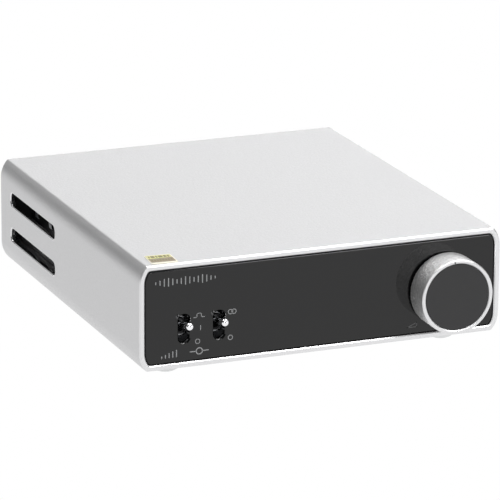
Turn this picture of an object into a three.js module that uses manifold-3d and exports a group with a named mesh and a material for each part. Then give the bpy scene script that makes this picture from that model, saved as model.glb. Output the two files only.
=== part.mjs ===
// A compact desktop stereo amplifier, as an assembly of separate pieces.
// Units are millimetres. +Z is up, the front faces -Y and +X is to the right.
// The assembly group's own frame has y = 0 at the casing's front edge and y growing to the rear.

import * as THREE from 'three';
import { mergeVertices } from 'three/addons/utils/BufferGeometryUtils.js';
import Module from 'manifold-3d';

const wasm = await Module();
wasm.setup();

// ---------------------------------------------------------------- driving dimensions

const GAP = 0.3; // clearance left between neighbouring pieces
const SEAT = 0.05; // clearance under a piece that rests on another
const SLIP = 0.2; // clearance round a piece that sits on or turns about another
const SLEEVE_SLIP = 0.15; // the same between two close sleeves
const PAST = 1; // how far a cutter reaches past what it cuts

// casing
const CASE_W = 150;
const CASE_D = 162.5;
const CASE_H = 41.8;
const WALL = 2.2;
const CORNER_R = 10.5; // the arc of each corner, which leaves the side smoothly
const CORNER_DROP = 7.3; // how far that arc's centre lies in from the flat top or bottom
const CREASE_R = 0.8; // the round where the arc meets the flat top or bottom
const EDGE_CHAMFER = 0.5;
const MOUTH_CHAMFER = 0.45;

// feet
const FOOT_H = 6;
const FOOT_R = 6.8;
const FOOT_FLAT_R = 1.8;
const FOOT_RIM = 1.2;
const FOOT_X = 58;
const FOOT_INSET = 17.5;

// vent slots in the casing's sides
const SLOT_L = 54;
const SLOT_H = 5.5;
const SLOT_R = 2.3;
const SLOT_Y = 123;
const SLOT_RISE = 7.5;
const SLOT_CUTTER = 4; // half the length of the cutter that makes a slot

// heights
const CASE_Z0 = FOOT_H;
const CASE_Z1 = FOOT_H + CASE_H;
const MID_Z = (CASE_Z0 + CASE_Z1) / 2;
const INNER_W = CASE_W - 2 * WALL;
const INNER_H = CASE_H - 2 * WALL;

// main board and the rails that hold it
const BOARD_W = 132;
const BOARD_T = 1.6;
const BOARD_Z = 12.6;
const BOARD_TOP = BOARD_Z + BOARD_T;
const BOARD_Y0 = 9;
const BOARD_Y1 = 158;
const RAIL_Y0 = 12;
const RAIL_Y1 = 159.7;
const RAIL_LEDGE = 3;
const RAIL_T = 1;

// screw bosses in the casing's corners
const BOSS_R = 2.3;
const BOSS_X = 70;
const BOSS_RISE = 15.3;
const BOSS_HOLE_R = 1.35;

// front panel and the carrier behind it
const PANEL_T = 3;
const PANEL_RECESS = 0.25;
const PANEL_EDGE = 0.4;
const PANEL_SHAFT_HOLE_R = 3.7;
const CARRIER_Y0 = 3.5;
const WEB_Y0 = 7;
const WEB_Y1 = 8.5;
const CARRIER_WALL = 1.2;
const CARRIER_CLEAR = 0.8;
const PLATE_EDGE = 0.2;

// toggle switches
const TOGGLE_Z = 21.4;
const POWER_X = -56.85;
const INPUT_X = -42.5;
const TOGGLE_SLOT_W = 4.6;
const TOGGLE_SLOT_H = 11.4;
const BAT_PIVOT_Y = 6.9;
const BAT_TILT = THREE.MathUtils.degToRad(12.4);
const BAT_LENGTH = 13.9;
const BAT_TIP_R = 1.6;
const BAT_ROOT_R = 1.05;
const TOGGLE_BUSH_R = 3;
const TOGGLE_BUSH_Y0 = 5;
const TOGGLE_BORE_R = 2.3;
const TOGGLE_BORE_DEPTH = 4;
const TOGGLE_NUT_AF = 8;
const TOGGLE_NUT_T = 1.7;
const SWITCH = { halfWidth: 3.5, below: 6.9, above: 6.4, length: 10, edge: 0.3 };

// volume knob and control
const KNOB_X = 51.4;
const KNOB_Z = FOOT_H + 19.5;
const KNOB_R = 14.95;
const KNOB_FRONT = -12.4;
const KNOB_REAR = -0.8;
const KNOB_FACE_R = 13.4;
const KNOB_MARK_TURN = THREE.MathUtils.degToRad(5.7);
const KNOB_EDGE = 0.35;
const FACE_RECESS = 1.3;
const FACE_SET_BACK = 0.3;
const HUB_R = 6;
const HUB_SET_BACK = 0.5;
const SKIRT_BORE_R = 12;
const KNOB_CAVITY_Y = KNOB_FRONT + 5;
const MARK = { halfWidth: 0.3, depth: 0.35, inner: KNOB_FACE_R - 0.2, outer: KNOB_R - 0.5 };
const SET_SCREW_R = 1.25;
const SET_SCREW_L = 3.2;
const SET_SCREW_Y = -5;
const SET_SCREW_AF = 1.3;
const SET_SCREW_SOCKET_Y = 2;
const SHAFT_R = 3;
const SHAFT_FLAT = 0.9;
const SHAFT_FLAT_Y1 = -2;
const SHAFT_Y0 = -9.6;
const SHAFT_DEPTH = 7;
const POT_BUSH_R = 3.8;
const POT_BUSH_Y0 = 3.7;
const POT_BODY_R = 8.5;
const POT_BODY_L = 10;
const POT_PEDESTAL_HALF = 6;
const POT_NUT_AF = 11;
const POT_NUT_T = 2;

// what stands on the main board
const CHIP = { x: 14, y: 82, size: 14, corner: 0.7, height: 2.3 };
const SINK = { width: 52, depth: 40, base: 4, height: 24, fins: 9, fin: 1.6 };
const CAPACITOR = { x: -50, radius: 8, height: 26, edge: 0.6, bead: 2, beadDepth: 0.5 };
const CAPACITOR_YS = { left: 110, right: 90 };
const CHOKE = { y: 122, size: 13, corner: 1.5, height: 12 };
const CHOKE_XS = { left: 4, right: 24 };

// rear panel and its sockets
const REAR_T = 2;
const REAR_FACE = CASE_D - 0.3;
const REAR_INNER = REAR_FACE - REAR_T;
const REAR_CLEAR = 0.35;
const BODY_Y1 = REAR_INNER - SLIP;
const BODY_EDGE = 0.4;
const SCREW = { headR: 2.25, headT: 1.5, shankR: 1.05, length: 8, clear: 0.4 };
const SCREW_POINT = { narrowing: 0.3, length: 0.6 };
const SCREW_CROWN = { edge: 0.825, narrowing: 0.7 };
const SCREW_CROSS = { arm: 1.3, blade: 0.25, depth: 0.9 };
const JACK_XS = { left: -36.6, right: -54.8 };
const JACK_Z = 23;
const JACK_BUSH_R = 4.75;
const JACK_BORE_R = 3.25;
const JACK = { y0: 132, half: 7.75, proud: 3.2, back: 2 };
const JACK_NUT = { acrossFlats: 13, thickness: 2.2, clear: 0.25 };
const RCA_X = -20;
const RCA_ZS = { left: 35, right: 21 };
const RCA_SHELL_R = 4.15;
const RCA_NECK_R = 5;
const RCA_CORE_R = 3.1;
const RCA_CONTACT_R = 1.7;
const RCA_CONTACT_DEPTH = 3;
const RCA_END = REAR_FACE + 9.5;
const RCA_CORE_BACK = 0.4;
const RCA_GROOVE_Y0 = BODY_Y1 - 5;
const RCA_BODY = { y0: 147, half: 7 };
const RCA_FLANGE = { width: 1.1, thickness: 1.6 };
const DC_X = 47.6;
const DC_Z = 21;
const DC_NECK_R = 5.4;
const DC_BODY = { y0: 146, half: 7, above: 5.8 };
const DC_WELL = { pinR: 1.25, radius: 3.1, depth: 8.5 };
const NECK_PROUD = 1;
const TRIGGER_X = 9.5;
const TRIGGER_Z = 18.8;
const TRIGGER_NECK_R = 3;
const TRIGGER_BODY = { y0: 148, half: 4, above: 3.6, edge: 0.3 };
const TRIGGER_BORE_R = 1.85;
const TRIGGER_BACK = 1.5;

// speaker terminals
const POST_PITCH = 19.05;
const POST_Z = 35;
const POST_X0 = 0;
const POST_NAMES = ['left_minus', 'left_plus', 'right_minus', 'right_plus'];
const POST_FLANGE_R = 6.2;
const POST_FLANGE_T = 4;
const POST_FLANGE_EDGE = 0.5;
const POST_NECK_R = 3.9;
const POST_STEM_R = 3.1;
const CAP_R = 5.9;
const CAP_L = 14;
const CAP_Y0 = REAR_FACE + POST_FLANGE_T + GAP;
const CAP_Y1 = CAP_Y0 + CAP_L;
const CAP_EDGE = 0.4;
const CAP_FLUTES = 12;
const CAP_FLUTE_DEPTH = 0.5;
const STEM_END = CAP_Y0 + 9.5;
const PIN_R = 2;
const PIN_PROUD = 1.5;
const SHOULDER_R = 4.6;
const SHOULDER_T = 3;
const SHOULDER_Y1 = REAR_INNER - 3;
const INSERT_R = 4.4;
const INSERT_L = 9.8;
const CAP_CAVITY_R = INSERT_R + GAP;
const CAP_CAVITY_L = 10.5;
const BANANA_R = 2.05;
const BANANA_CLEAR = 0.4;

// output board, upright behind the speaker terminals
const OUTPUT_BOARD_Y0 = 151;
const OUTPUT_BOARD_T = 1.6;
const OUTPUT_BOARD = { leftMargin: 8.5, rightMargin: 5.3, leg: 6, step: 28, top: 42 };

const KNOB_SIDES = 40; // sides of the knob
const ROUND = 20; // sides of the larger round pieces
const SMALL_ROUND = 14; // sides of the smaller ones
const TINY_ROUND = 10; // sides of screw shanks and contact holes

// ---------------------------------------------------------------- materials

const material = (color, roughness, metalness) =>
  new THREE.MeshStandardMaterial({ color, roughness, metalness });

const MATERIALS = {
  casing: material(0xc9cacb, 0.45, 0.9),
  panel: material(0x0b0b0c, 0.06, 0),
  bracket: material(0x8e9194, 0.5, 0.8),
  rearPanel: material(0x1a1a1c, 0.5, 0.4),
  screw: material(0x2a2a2c, 0.35, 0.9),
  foot: material(0xd9dadb, 0.6, 0),
  board: material(0x12251a, 0.5, 0),
  knob: material(0xd4d5d6, 0.35, 0.95),
  knobFace: material(0x141415, 0.25, 0),
  chrome: material(0xe8e9ea, 0.08, 1),
  steel: material(0x9a9c9e, 0.3, 0.9),
  plastic: material(0x17171a, 0.5, 0),
  black: material(0x0e0e10, 0.4, 0),
  brass: material(0xc9a24a, 0.25, 1),
  red: material(0xb3201f, 0.4, 0),
  white: material(0xe6e6e2, 0.4, 0),
  sleeve: material(0x1d2233, 0.4, 0),
  heatSink: material(0x3a3c3f, 0.5, 0.8),
  foil: material(0xd8b44a, 0.3, 0.8),
};

// ---------------------------------------------------------------- outlines (x across, y up)

const ARC_STEPS = 8;
const CREASE_STEPS = 3;

function roundedRect(width, height, radius, cx = 0, cy = 0) {
  const shape = new THREE.Shape();
  const x = cx - width / 2;
  const y = cy - height / 2;
  shape.moveTo(x + radius, y);
  shape.lineTo(x + width - radius, y);
  shape.absarc(x + width - radius, y + radius, radius, -Math.PI / 2, 0);
  shape.lineTo(x + width, y + height - radius);
  shape.absarc(x + width - radius, y + height - radius, radius, 0, Math.PI / 2);
  shape.lineTo(x + radius, y + height);
  shape.absarc(x + radius, y + height - radius, radius, Math.PI / 2, Math.PI);
  shape.lineTo(x, y + radius);
  shape.absarc(x + radius, y + radius, radius, Math.PI, 1.5 * Math.PI);
  return shape;
}

function arcPoints(cx, cy, radius, start, stop, steps) {
  const points = [];
  for (let i = 0; i <= steps; i += 1) {
    const turn = start + ((stop - start) * i) / steps;
    points.push([cx + radius * Math.cos(turn), cy + radius * Math.sin(turn)]);
  }
  return points;
}

// The casing's outline moved in by inset. Each corner is an arc that leaves the side smoothly and
// meets the flat top or bottom at a slightly rounded crease.
function sleeveOutline(inset) {
  const arcX = CASE_W / 2 - CORNER_R;
  const arcRise = CASE_H / 2 - CORNER_DROP;
  const creaseRise = CASE_H / 2 - inset - CREASE_R;
  const reach = CORNER_R - inset - CREASE_R;
  const crease = Math.asin((creaseRise - arcRise) / reach);
  const creaseX = arcX + reach * Math.cos(crease);
  const round = arcPoints(creaseX, creaseRise, CREASE_R, crease, Math.PI / 2, CREASE_STEPS);
  const quadrant = [
    ...arcPoints(arcX, arcRise, CORNER_R - inset, 0, crease, ARC_STEPS),
    ...round.slice(1),
  ];
  const back = [...quadrant].reverse();
  const points = [
    ...quadrant,
    ...back.map(([x, z]) => [-x, z]),
    ...quadrant.map(([x, z]) => [-x, -z]),
    ...back.map(([x, z]) => [x, -z]),
  ];
  return new THREE.Shape(points.map(([x, z]) => new THREE.Vector2(x, MID_Z + z)));
}

function rectangle(x0, x1, y0, y1) {
  return new THREE.Shape([
    new THREE.Vector2(x0, y0),
    new THREE.Vector2(x1, y0),
    new THREE.Vector2(x1, y1),
    new THREE.Vector2(x0, y1),
  ]);
}

function hexagon(acrossFlats) {
  const radius = acrossFlats / Math.sqrt(3);
  const corners = [];
  for (let i = 0; i < 6; i += 1) {
    const turn = (i * Math.PI) / 3;
    corners.push(new THREE.Vector2(radius * Math.cos(turn), radius * Math.sin(turn)));
  }
  return new THREE.Shape(corners);
}

function fluted(radius, depth, flutes) {
  const steps = flutes * 3;
  const points = [];
  for (let i = 0; i < steps; i += 1) {
    const turn = (i / steps) * 2 * Math.PI;
    const r = radius - depth * 0.5 * (1 - Math.cos(flutes * turn));
    points.push(new THREE.Vector2(r * Math.cos(turn), r * Math.sin(turn)));
  }
  return new THREE.Shape(points);
}

// ---------------------------------------------------------------- solids

// A prism that stands on an upright outline (x, z) and runs along Y from y0 to y1.
function alongY(shape, y0, y1, bevel = 0, sides = 6) {
  const geometry = new THREE.ExtrudeGeometry(shape, {
    depth: y1 - y0 - 2 * bevel,
    bevelEnabled: bevel > 0,
    bevelThickness: bevel,
    bevelSize: bevel,
    bevelOffset: -bevel,
    bevelSegments: 1,
    curveSegments: sides,
  });
  geometry.rotateX(Math.PI / 2);
  geometry.translate(0, y1 - bevel, 0);
  return geometry;
}

// A prism that stands on a level outline (x, y) and runs up from z0 to z1.
function alongZ(shape, z0, z1, sides = 6) {
  const geometry = new THREE.ExtrudeGeometry(shape, {
    depth: z1 - z0,
    bevelEnabled: false,
    curveSegments: sides,
  });
  geometry.translate(0, 0, z0);
  return geometry;
}

function box(x0, x1, y0, y1, z0, z1) {
  const geometry = new THREE.BoxGeometry(x1 - x0, y1 - y0, z1 - z0);
  geometry.translate((x0 + x1) / 2, (y0 + y1) / 2, (z0 + z1) / 2);
  return geometry;
}

// A round body about a line along Y. The profile lists [radius, y] and goes round
// anticlockwise, with radius to the right and y up.
function turned(profile, sides = ROUND) {
  const points = profile.map(([radius, y]) => new THREE.Vector2(radius, y));
  return new THREE.LatheGeometry(points, sides);
}

function rod(radius, y0, y1, sides = ROUND) {
  return turned([[0, y0], [radius, y0], [radius, y1], [0, y1]], sides);
}

function ring(inner, outer, y0, y1, sides = ROUND) {
  return turned([[inner, y0], [outer, y0], [outer, y1], [inner, y1], [inner, y0]], sides);
}

function at(geometry, x, y, z) {
  return geometry.translate(x, y, z);
}

// ---------------------------------------------------------------- cutting and joining

function solid(geometry) {
  const bare = geometry.clone();
  bare.deleteAttribute('normal');
  bare.deleteAttribute('uv');
  const merged = mergeVertices(bare, 1e-5);
  return new wasm.Manifold(
    new wasm.Mesh({
      numProp: 3,
      vertProperties: new Float32Array(merged.attributes.position.array),
      triVerts: new Uint32Array(merged.index.array),
    }),
  );
}

function geometryOf(manifold) {
  const mesh = manifold.getMesh();
  const geometry = new THREE.BufferGeometry();
  geometry.setAttribute('position', new THREE.BufferAttribute(mesh.vertProperties, 3));
  geometry.setIndex(new THREE.BufferAttribute(mesh.triVerts, 1));
  return geometry;
}

// Joins all the added geometries, then cuts all the removed ones away.
function carve(added, removed = []) {
  let body = solid(added[0]);
  for (const geometry of added.slice(1)) {
    body = body.add(solid(geometry));
  }
  for (const geometry of removed) {
    body = body.subtract(solid(geometry));
  }
  return geometryOf(body);
}

// ---------------------------------------------------------------- the assembly

const amplifier = new THREE.Group();
const chassis = new THREE.Group();
const overallDepth = CAP_Y1 - KNOB_FRONT;
chassis.position.y = -KNOB_FRONT - overallDepth / 2;
amplifier.add(chassis);

function place(name, geometry, materialName) {
  const mesh = new THREE.Mesh(geometry, MATERIALS[materialName]);
  mesh.name = name;
  chassis.add(mesh);
  return mesh;
}

// ---------------------------------------------------------------- casing and feet

const OVERLAP = 0.15; // how far a joined feature reaches into the wall it grows from
const SIDES = [-1, 1];

function cornerBoss(side, up) {
  const zc = MID_Z + up * BOSS_RISE;
  const xWall = INNER_W / 2 + OVERLAP;
  const zWall = MID_Z + up * (INNER_H / 2 + OVERLAP);
  const xInner = BOSS_X - BOSS_R;
  const zInner = zc - up * BOSS_R;
  const z0 = Math.min(zWall, zInner);
  const z1 = Math.max(zWall, zInner);
  const shape = side > 0 ? rectangle(xInner, xWall, z0, z1) : rectangle(-xWall, -xInner, z0, z1);
  return alongY(shape, RAIL_Y0, RAIL_Y1);
}

function boardRail(side) {
  const clear = GAP / 2;
  const inner = side * (BOARD_W / 2 - RAIL_LEDGE);
  const web = side * (BOARD_W / 2 + clear);
  const outer = side * (BOARD_W / 2 + clear + RAIL_T);
  const strip = (xa, xb, z0, z1) =>
    alongY(rectangle(Math.min(xa, xb), Math.max(xa, xb), z0, z1), RAIL_Y0, RAIL_Y1);
  const floor = CASE_Z0 + WALL - OVERLAP;
  return [
    strip(web, outer, floor, BOARD_TOP + clear + RAIL_T),
    strip(inner, web, floor, BOARD_Z - clear),
    strip(inner, web, BOARD_TOP + clear, BOARD_TOP + clear + RAIL_T),
  ];
}

function ventSlot(side, up) {
  const outline = roundedRect(SLOT_L, SLOT_H, SLOT_R, SLOT_Y, MID_Z + up * SLOT_RISE);
  const cutter = alongY(outline, -SLOT_CUTTER, SLOT_CUTTER, 0, 3);
  cutter.rotateZ(Math.PI / 2);
  cutter.translate(side * (CASE_W / 2 - WALL / 2), 0, 0);
  return cutter;
}

// Widens the casing's hollow at one mouth, so that its inner edge is chamfered.
function mouthFlare(hollow, mouth) {
  const halfDepth = 0.01;
  const flare = new THREE.ExtrudeGeometry(hollow, {
    depth: 2 * halfDepth,
    bevelEnabled: true,
    bevelThickness: MOUTH_CHAMFER,
    bevelSize: MOUTH_CHAMFER,
    bevelSegments: 1,
  });
  flare.rotateX(Math.PI / 2);
  return at(flare, 0, mouth + halfDepth, 0);
}

function casing() {
  const hollow = sleeveOutline(WALL);
  const sleeve = carve([alongY(sleeveOutline(0), 0, CASE_D, EDGE_CHAMFER)], [
    alongY(hollow, -PAST, CASE_D + PAST),
    mouthFlare(hollow, 0),
    mouthFlare(hollow, CASE_D),
  ]);
  const added = [sleeve];
  const removed = [];
  for (const side of SIDES) {
    added.push(...boardRail(side));
    for (const up of SIDES) {
      added.push(cornerBoss(side, up));
      const hole = rod(BOSS_HOLE_R, RAIL_Y0 - PAST, RAIL_Y1 + PAST, TINY_ROUND);
      removed.push(at(hole, side * BOSS_X, 0, MID_Z + up * BOSS_RISE));
      removed.push(ventSlot(side, up));
    }
  }
  return carve(added, removed);
}

place('casing', casing(), 'casing');

function foot() {
  const points = [new THREE.Vector2(0, -FOOT_H), new THREE.Vector2(FOOT_FLAT_R, -FOOT_H)];
  const steps = 4;
  const shoulder = FOOT_H - FOOT_RIM;
  for (let i = 1; i <= steps; i += 1) {
    const turn = (i / steps) * (Math.PI / 2);
    const radius = FOOT_FLAT_R + (FOOT_R - FOOT_FLAT_R) * Math.sin(turn);
    points.push(new THREE.Vector2(radius, -FOOT_H + shoulder * (1 - Math.cos(turn))));
  }
  points.push(new THREE.Vector2(FOOT_R, 0), new THREE.Vector2(0, 0));
  const geometry = new THREE.LatheGeometry(points, ROUND);
  geometry.rotateX(Math.PI / 2);
  return geometry;
}

for (const [end, y] of [['front', FOOT_INSET], ['rear', CASE_D - FOOT_INSET]]) {
  place(`foot_${end}_left`, at(foot(), -FOOT_X, y, FOOT_H), 'foot');
  place(`foot_${end}_right`, at(foot(), FOOT_X, y, FOOT_H), 'foot');
}

// ---------------------------------------------------------------- foil label

const LABEL_W = 10.6;
const LABEL_D = 11.3;
const LABEL_T = 0.12;
const LABEL_R = 0.5;
const LABEL_LIFT = 0.01;
const LABEL_X = -CASE_W / 2 + 11.4;
const LABEL_Y = 7.1;
const LABEL_TURN = THREE.MathUtils.degToRad(-3.5);

function foilLabel() {
  const geometry = alongZ(roundedRect(LABEL_W, LABEL_D, LABEL_R), 0, LABEL_T, 3);
  geometry.rotateZ(LABEL_TURN);
  return at(geometry, LABEL_X, LABEL_Y, CASE_Z1 + LABEL_LIFT);
}

place('foil_label', foilLabel(), 'foil');

// ---------------------------------------------------------------- front panel and carrier

function frontPanel() {
  const y0 = PANEL_RECESS;
  const body = alongY(sleeveOutline(WALL + GAP), y0, y0 + PANEL_T, PANEL_EDGE);
  const slotRadius = TOGGLE_SLOT_W / 2 - 0.01;
  const removed = [];
  for (const x of [POWER_X, INPUT_X]) {
    const slot = roundedRect(TOGGLE_SLOT_W, TOGGLE_SLOT_H, slotRadius, x, TOGGLE_Z);
    removed.push(alongY(slot, y0 - PAST, y0 + PANEL_T + PAST));
  }
  const shaftHole = rod(PANEL_SHAFT_HOLE_R, y0 - PAST, y0 + PANEL_T + PAST, SMALL_ROUND);
  removed.push(at(shaftHole, KNOB_X, 0, KNOB_Z));
  return carve([body], removed);
}

place('front_panel', frontPanel(), 'panel');

function frontCarrier() {
  const tray = sleeveOutline(WALL + CARRIER_CLEAR);
  const pocket = sleeveOutline(WALL + CARRIER_CLEAR + CARRIER_WALL);
  const hole = (radius, x, z) =>
    at(rod(radius + GAP, WEB_Y0 - PAST, WEB_Y1 + PAST, SMALL_ROUND), x, 0, z);
  const removed = [
    alongY(pocket, CARRIER_Y0 - PAST, WEB_Y0),
    hole(TOGGLE_BUSH_R, POWER_X, TOGGLE_Z),
    hole(TOGGLE_BUSH_R, INPUT_X, TOGGLE_Z),
    hole(POT_BUSH_R, KNOB_X, KNOB_Z),
  ];
  return carve([alongY(tray, CARRIER_Y0, WEB_Y1)], removed);
}

place('front_carrier', frontCarrier(), 'bracket');

// ---------------------------------------------------------------- toggle switches

const BODY_Y0 = WEB_Y1 + GAP;

function switchBody() {
  const outline = rectangle(-SWITCH.halfWidth, SWITCH.halfWidth, -SWITCH.below, SWITCH.above);
  const frame = alongY(outline, BODY_Y0, BODY_Y0 + SWITCH.length, SWITCH.edge);
  const bushing = rod(TOGGLE_BUSH_R, TOGGLE_BUSH_Y0, BODY_Y0 + PAST, SMALL_ROUND);
  const wellY1 = BODY_Y0 + TOGGLE_BORE_DEPTH;
  const well = rod(TOGGLE_BORE_R, TOGGLE_BUSH_Y0 - PAST, wellY1, SMALL_ROUND);
  return carve([frame, bushing], [well]);
}

// The bat's root, pivot ball and tail, as [radius, y from the pivot].
const BAT_SHANK = [
  [BAT_ROOT_R, -1.8],
  [1.55, -0.9],
  [1.75, 0],
  [1.4, 1.1],
  [0.9, 1.6],
  [0.9, 3],
  [0, 3],
];

// The bat points along -Y from its pivot at the origin: a tail inside the switch, a pivot
// ball, then a taper that widens to a domed tip.
function bat() {
  const dome = [];
  const steps = 5;
  for (let i = 0; i <= steps; i += 1) {
    const turn = (i / steps) * (Math.PI / 2);
    dome.push([BAT_TIP_R * Math.sin(turn), -BAT_LENGTH + BAT_TIP_R * (1 - Math.cos(turn))]);
  }
  return turned([...dome, ...BAT_SHANK], SMALL_ROUND);
}

function hexNut(acrossFlats, holeR, y0, thickness) {
  const hole = rod(holeR, y0 - PAST, y0 + thickness + PAST, SMALL_ROUND);
  return carve([alongY(hexagon(acrossFlats), y0, y0 + thickness, PLATE_EDGE)], [hole]);
}

// A nut in front of the carrier's web.
function webNut(acrossFlats, bushingR, thickness) {
  return hexNut(acrossFlats, bushingR + SLIP, WEB_Y0 - thickness - SEAT, thickness);
}

for (const [name, x] of [['power', POWER_X], ['input', INPUT_X]]) {
  place(`${name}_switch_body`, at(switchBody(), x, 0, TOGGLE_Z), 'plastic');
  const nut = webNut(TOGGLE_NUT_AF, TOGGLE_BUSH_R, TOGGLE_NUT_T);
  place(`${name}_switch_nut`, at(nut, x, 0, TOGGLE_Z), 'steel');
  const lever = place(`${name}_switch_bat`, bat(), 'chrome');
  lever.position.set(x, BAT_PIVOT_Y, TOGGLE_Z);
  lever.rotation.x = -BAT_TILT;
}

// ---------------------------------------------------------------- volume control and knob

const ON_BOARD = BOARD_TOP + SEAT;
const SHAFT_Y1 = BODY_Y0 + SHAFT_DEPTH;

function volumePot() {
  const y1 = BODY_Y0 + POT_BODY_L;
  const can = rod(POT_BODY_R, BODY_Y0, y1);
  const bushing = rod(POT_BUSH_R, POT_BUSH_Y0, BODY_Y0 + PAST, SMALL_ROUND);
  const half = POT_PEDESTAL_HALF;
  const pedestal = box(-half, half, BODY_Y0, y1 - PAST, ON_BOARD - KNOB_Z, 0);
  const bore = rod(SHAFT_R + SLIP, POT_BUSH_Y0 - PAST, SHAFT_Y1 + 0.5, SMALL_ROUND);
  return carve([can, bushing, pedestal], [bore]);
}

place('volume_pot', at(volumePot(), KNOB_X, 0, KNOB_Z), 'plastic');

const potNut = webNut(POT_NUT_AF, POT_BUSH_R, POT_NUT_T);
place('volume_pot_nut', at(potNut, KNOB_X, 0, KNOB_Z), 'steel');

function volumeShaft() {
  const beyond = SHAFT_R + PAST;
  const flatZ = SHAFT_FLAT - SHAFT_R;
  const flat = box(-beyond, beyond, SHAFT_Y0 - PAST, SHAFT_FLAT_Y1, -beyond, flatZ);
  return carve([rod(SHAFT_R, SHAFT_Y0, SHAFT_Y1, SMALL_ROUND)], [flat]);
}

place('volume_shaft', at(volumeShaft(), KNOB_X, 0, KNOB_Z), 'steel');

function volumeKnob() {
  const body = turned([
    [0, KNOB_FRONT + FACE_RECESS],
    [KNOB_FACE_R, KNOB_FRONT + FACE_RECESS],
    [KNOB_FACE_R, KNOB_FRONT + KNOB_EDGE],
    [KNOB_FACE_R + KNOB_EDGE, KNOB_FRONT],
    [KNOB_R - KNOB_EDGE, KNOB_FRONT],
    [KNOB_R, KNOB_FRONT + KNOB_EDGE],
    [KNOB_R, KNOB_REAR - KNOB_EDGE],
    [KNOB_R - KNOB_EDGE, KNOB_REAR],
    [SKIRT_BORE_R, KNOB_REAR],
    [SKIRT_BORE_R, KNOB_CAVITY_Y],
    [HUB_R, KNOB_CAVITY_Y],
    [HUB_R, KNOB_REAR - HUB_SET_BACK],
    [0, KNOB_REAR - HUB_SET_BACK],
  ], KNOB_SIDES);
  const bore = rod(SHAFT_R + GAP, SHAFT_Y0 - 0.4, KNOB_REAR + PAST, SMALL_ROUND);
  const half = MARK.halfWidth;
  const markY1 = KNOB_FRONT + MARK.depth;
  const mark = box(-half, half, KNOB_FRONT - PAST, markY1, MARK.inner, MARK.outer);
  mark.rotateY(-KNOB_MARK_TURN);
  const screwHole = rod(SET_SCREW_R + GAP, 0, KNOB_R + PAST, TINY_ROUND);
  screwHole.rotateX(-Math.PI / 2);
  screwHole.translate(0, SET_SCREW_Y, 0);
  return carve([body], [bore, mark, screwHole]);
}

place('volume_knob', at(volumeKnob(), KNOB_X, 0, KNOB_Z), 'knob');

const faceY0 = KNOB_FRONT + FACE_SET_BACK;
const faceY1 = KNOB_FRONT + FACE_RECESS - SEAT;
const face = rod(KNOB_FACE_R - SLEEVE_SLIP, faceY0, faceY1, KNOB_SIDES);
place('knob_face', at(face, KNOB_X, 0, KNOB_Z), 'knobFace');

function knobSetScrew() {
  const socket = alongY(hexagon(SET_SCREW_AF), SET_SCREW_SOCKET_Y, SET_SCREW_L + PAST);
  const geometry = carve([rod(SET_SCREW_R, 0, SET_SCREW_L, TINY_ROUND)], [socket]);
  geometry.rotateX(-Math.PI / 2);
  return geometry;
}

const setScrewZ = KNOB_Z - (SHAFT_R - SHAFT_FLAT + SLEEVE_SLIP);
const setScrew = at(knobSetScrew(), KNOB_X, SET_SCREW_Y, setScrewZ);
place('knob_set_screw', setScrew, 'screw');

// ---------------------------------------------------------------- boards and what is on them

const mainBoard = box(-BOARD_W / 2, BOARD_W / 2, BOARD_Y0, BOARD_Y1, BOARD_Z, BOARD_TOP);
place('main_board', mainBoard, 'board');

const CHIP_TOP = ON_BOARD + CHIP.height;

function amplifierChip() {
  const outline = roundedRect(CHIP.size, CHIP.size, CHIP.corner, CHIP.x, CHIP.y);
  return alongZ(outline, ON_BOARD, CHIP_TOP, 2);
}

place('amplifier_chip', amplifierChip(), 'black');

// A comb of upright fins on a flat base, extruded from front to rear.
function heatSink() {
  const z0 = CHIP_TOP + SEAT;
  const left = CHIP.x - SINK.width / 2;
  const pitch = (SINK.width - SINK.fin) / (SINK.fins - 1);
  const points = [new THREE.Vector2(left, z0), new THREE.Vector2(left + SINK.width, z0)];
  for (let i = SINK.fins - 1; i >= 0; i -= 1) {
    const x = left + i * pitch;
    points.push(new THREE.Vector2(x + SINK.fin, z0 + SINK.height));
    points.push(new THREE.Vector2(x, z0 + SINK.height));
    if (i > 0) {
      points.push(new THREE.Vector2(x, z0 + SINK.base));
      points.push(new THREE.Vector2(x - pitch + SINK.fin, z0 + SINK.base));
    }
  }
  return alongY(new THREE.Shape(points), CHIP.y - SINK.depth / 2, CHIP.y + SINK.depth / 2);
}

place('heat_sink', heatSink(), 'heatSink');

// A can with a bead rolled in near its foot.
function capacitor() {
  const { radius, height, edge, bead, beadDepth } = CAPACITOR;
  const geometry = turned([
    [0, 0],
    [radius, 0],
    [radius, bead - beadDepth],
    [radius - beadDepth, bead],
    [radius, bead + beadDepth],
    [radius, height - edge],
    [radius - edge, height],
    [0, height],
  ]);
  geometry.rotateX(Math.PI / 2);
  return geometry;
}

function outputChoke() {
  return alongZ(roundedRect(CHOKE.size, CHOKE.size, CHOKE.corner), 0, CHOKE.height, 3);
}

for (const [side, y] of Object.entries(CAPACITOR_YS)) {
  place(`reservoir_capacitor_${side}`, at(capacitor(), CAPACITOR.x, y, ON_BOARD), 'sleeve');
}
for (const [side, x] of Object.entries(CHOKE_XS)) {
  place(`output_choke_${side}`, at(outputChoke(), x, CHOKE.y, ON_BOARD), 'black');
}

// ---------------------------------------------------------------- rear panel, screws

const postXs = POST_NAMES.map((_, i) => POST_X0 + i * POST_PITCH);

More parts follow.
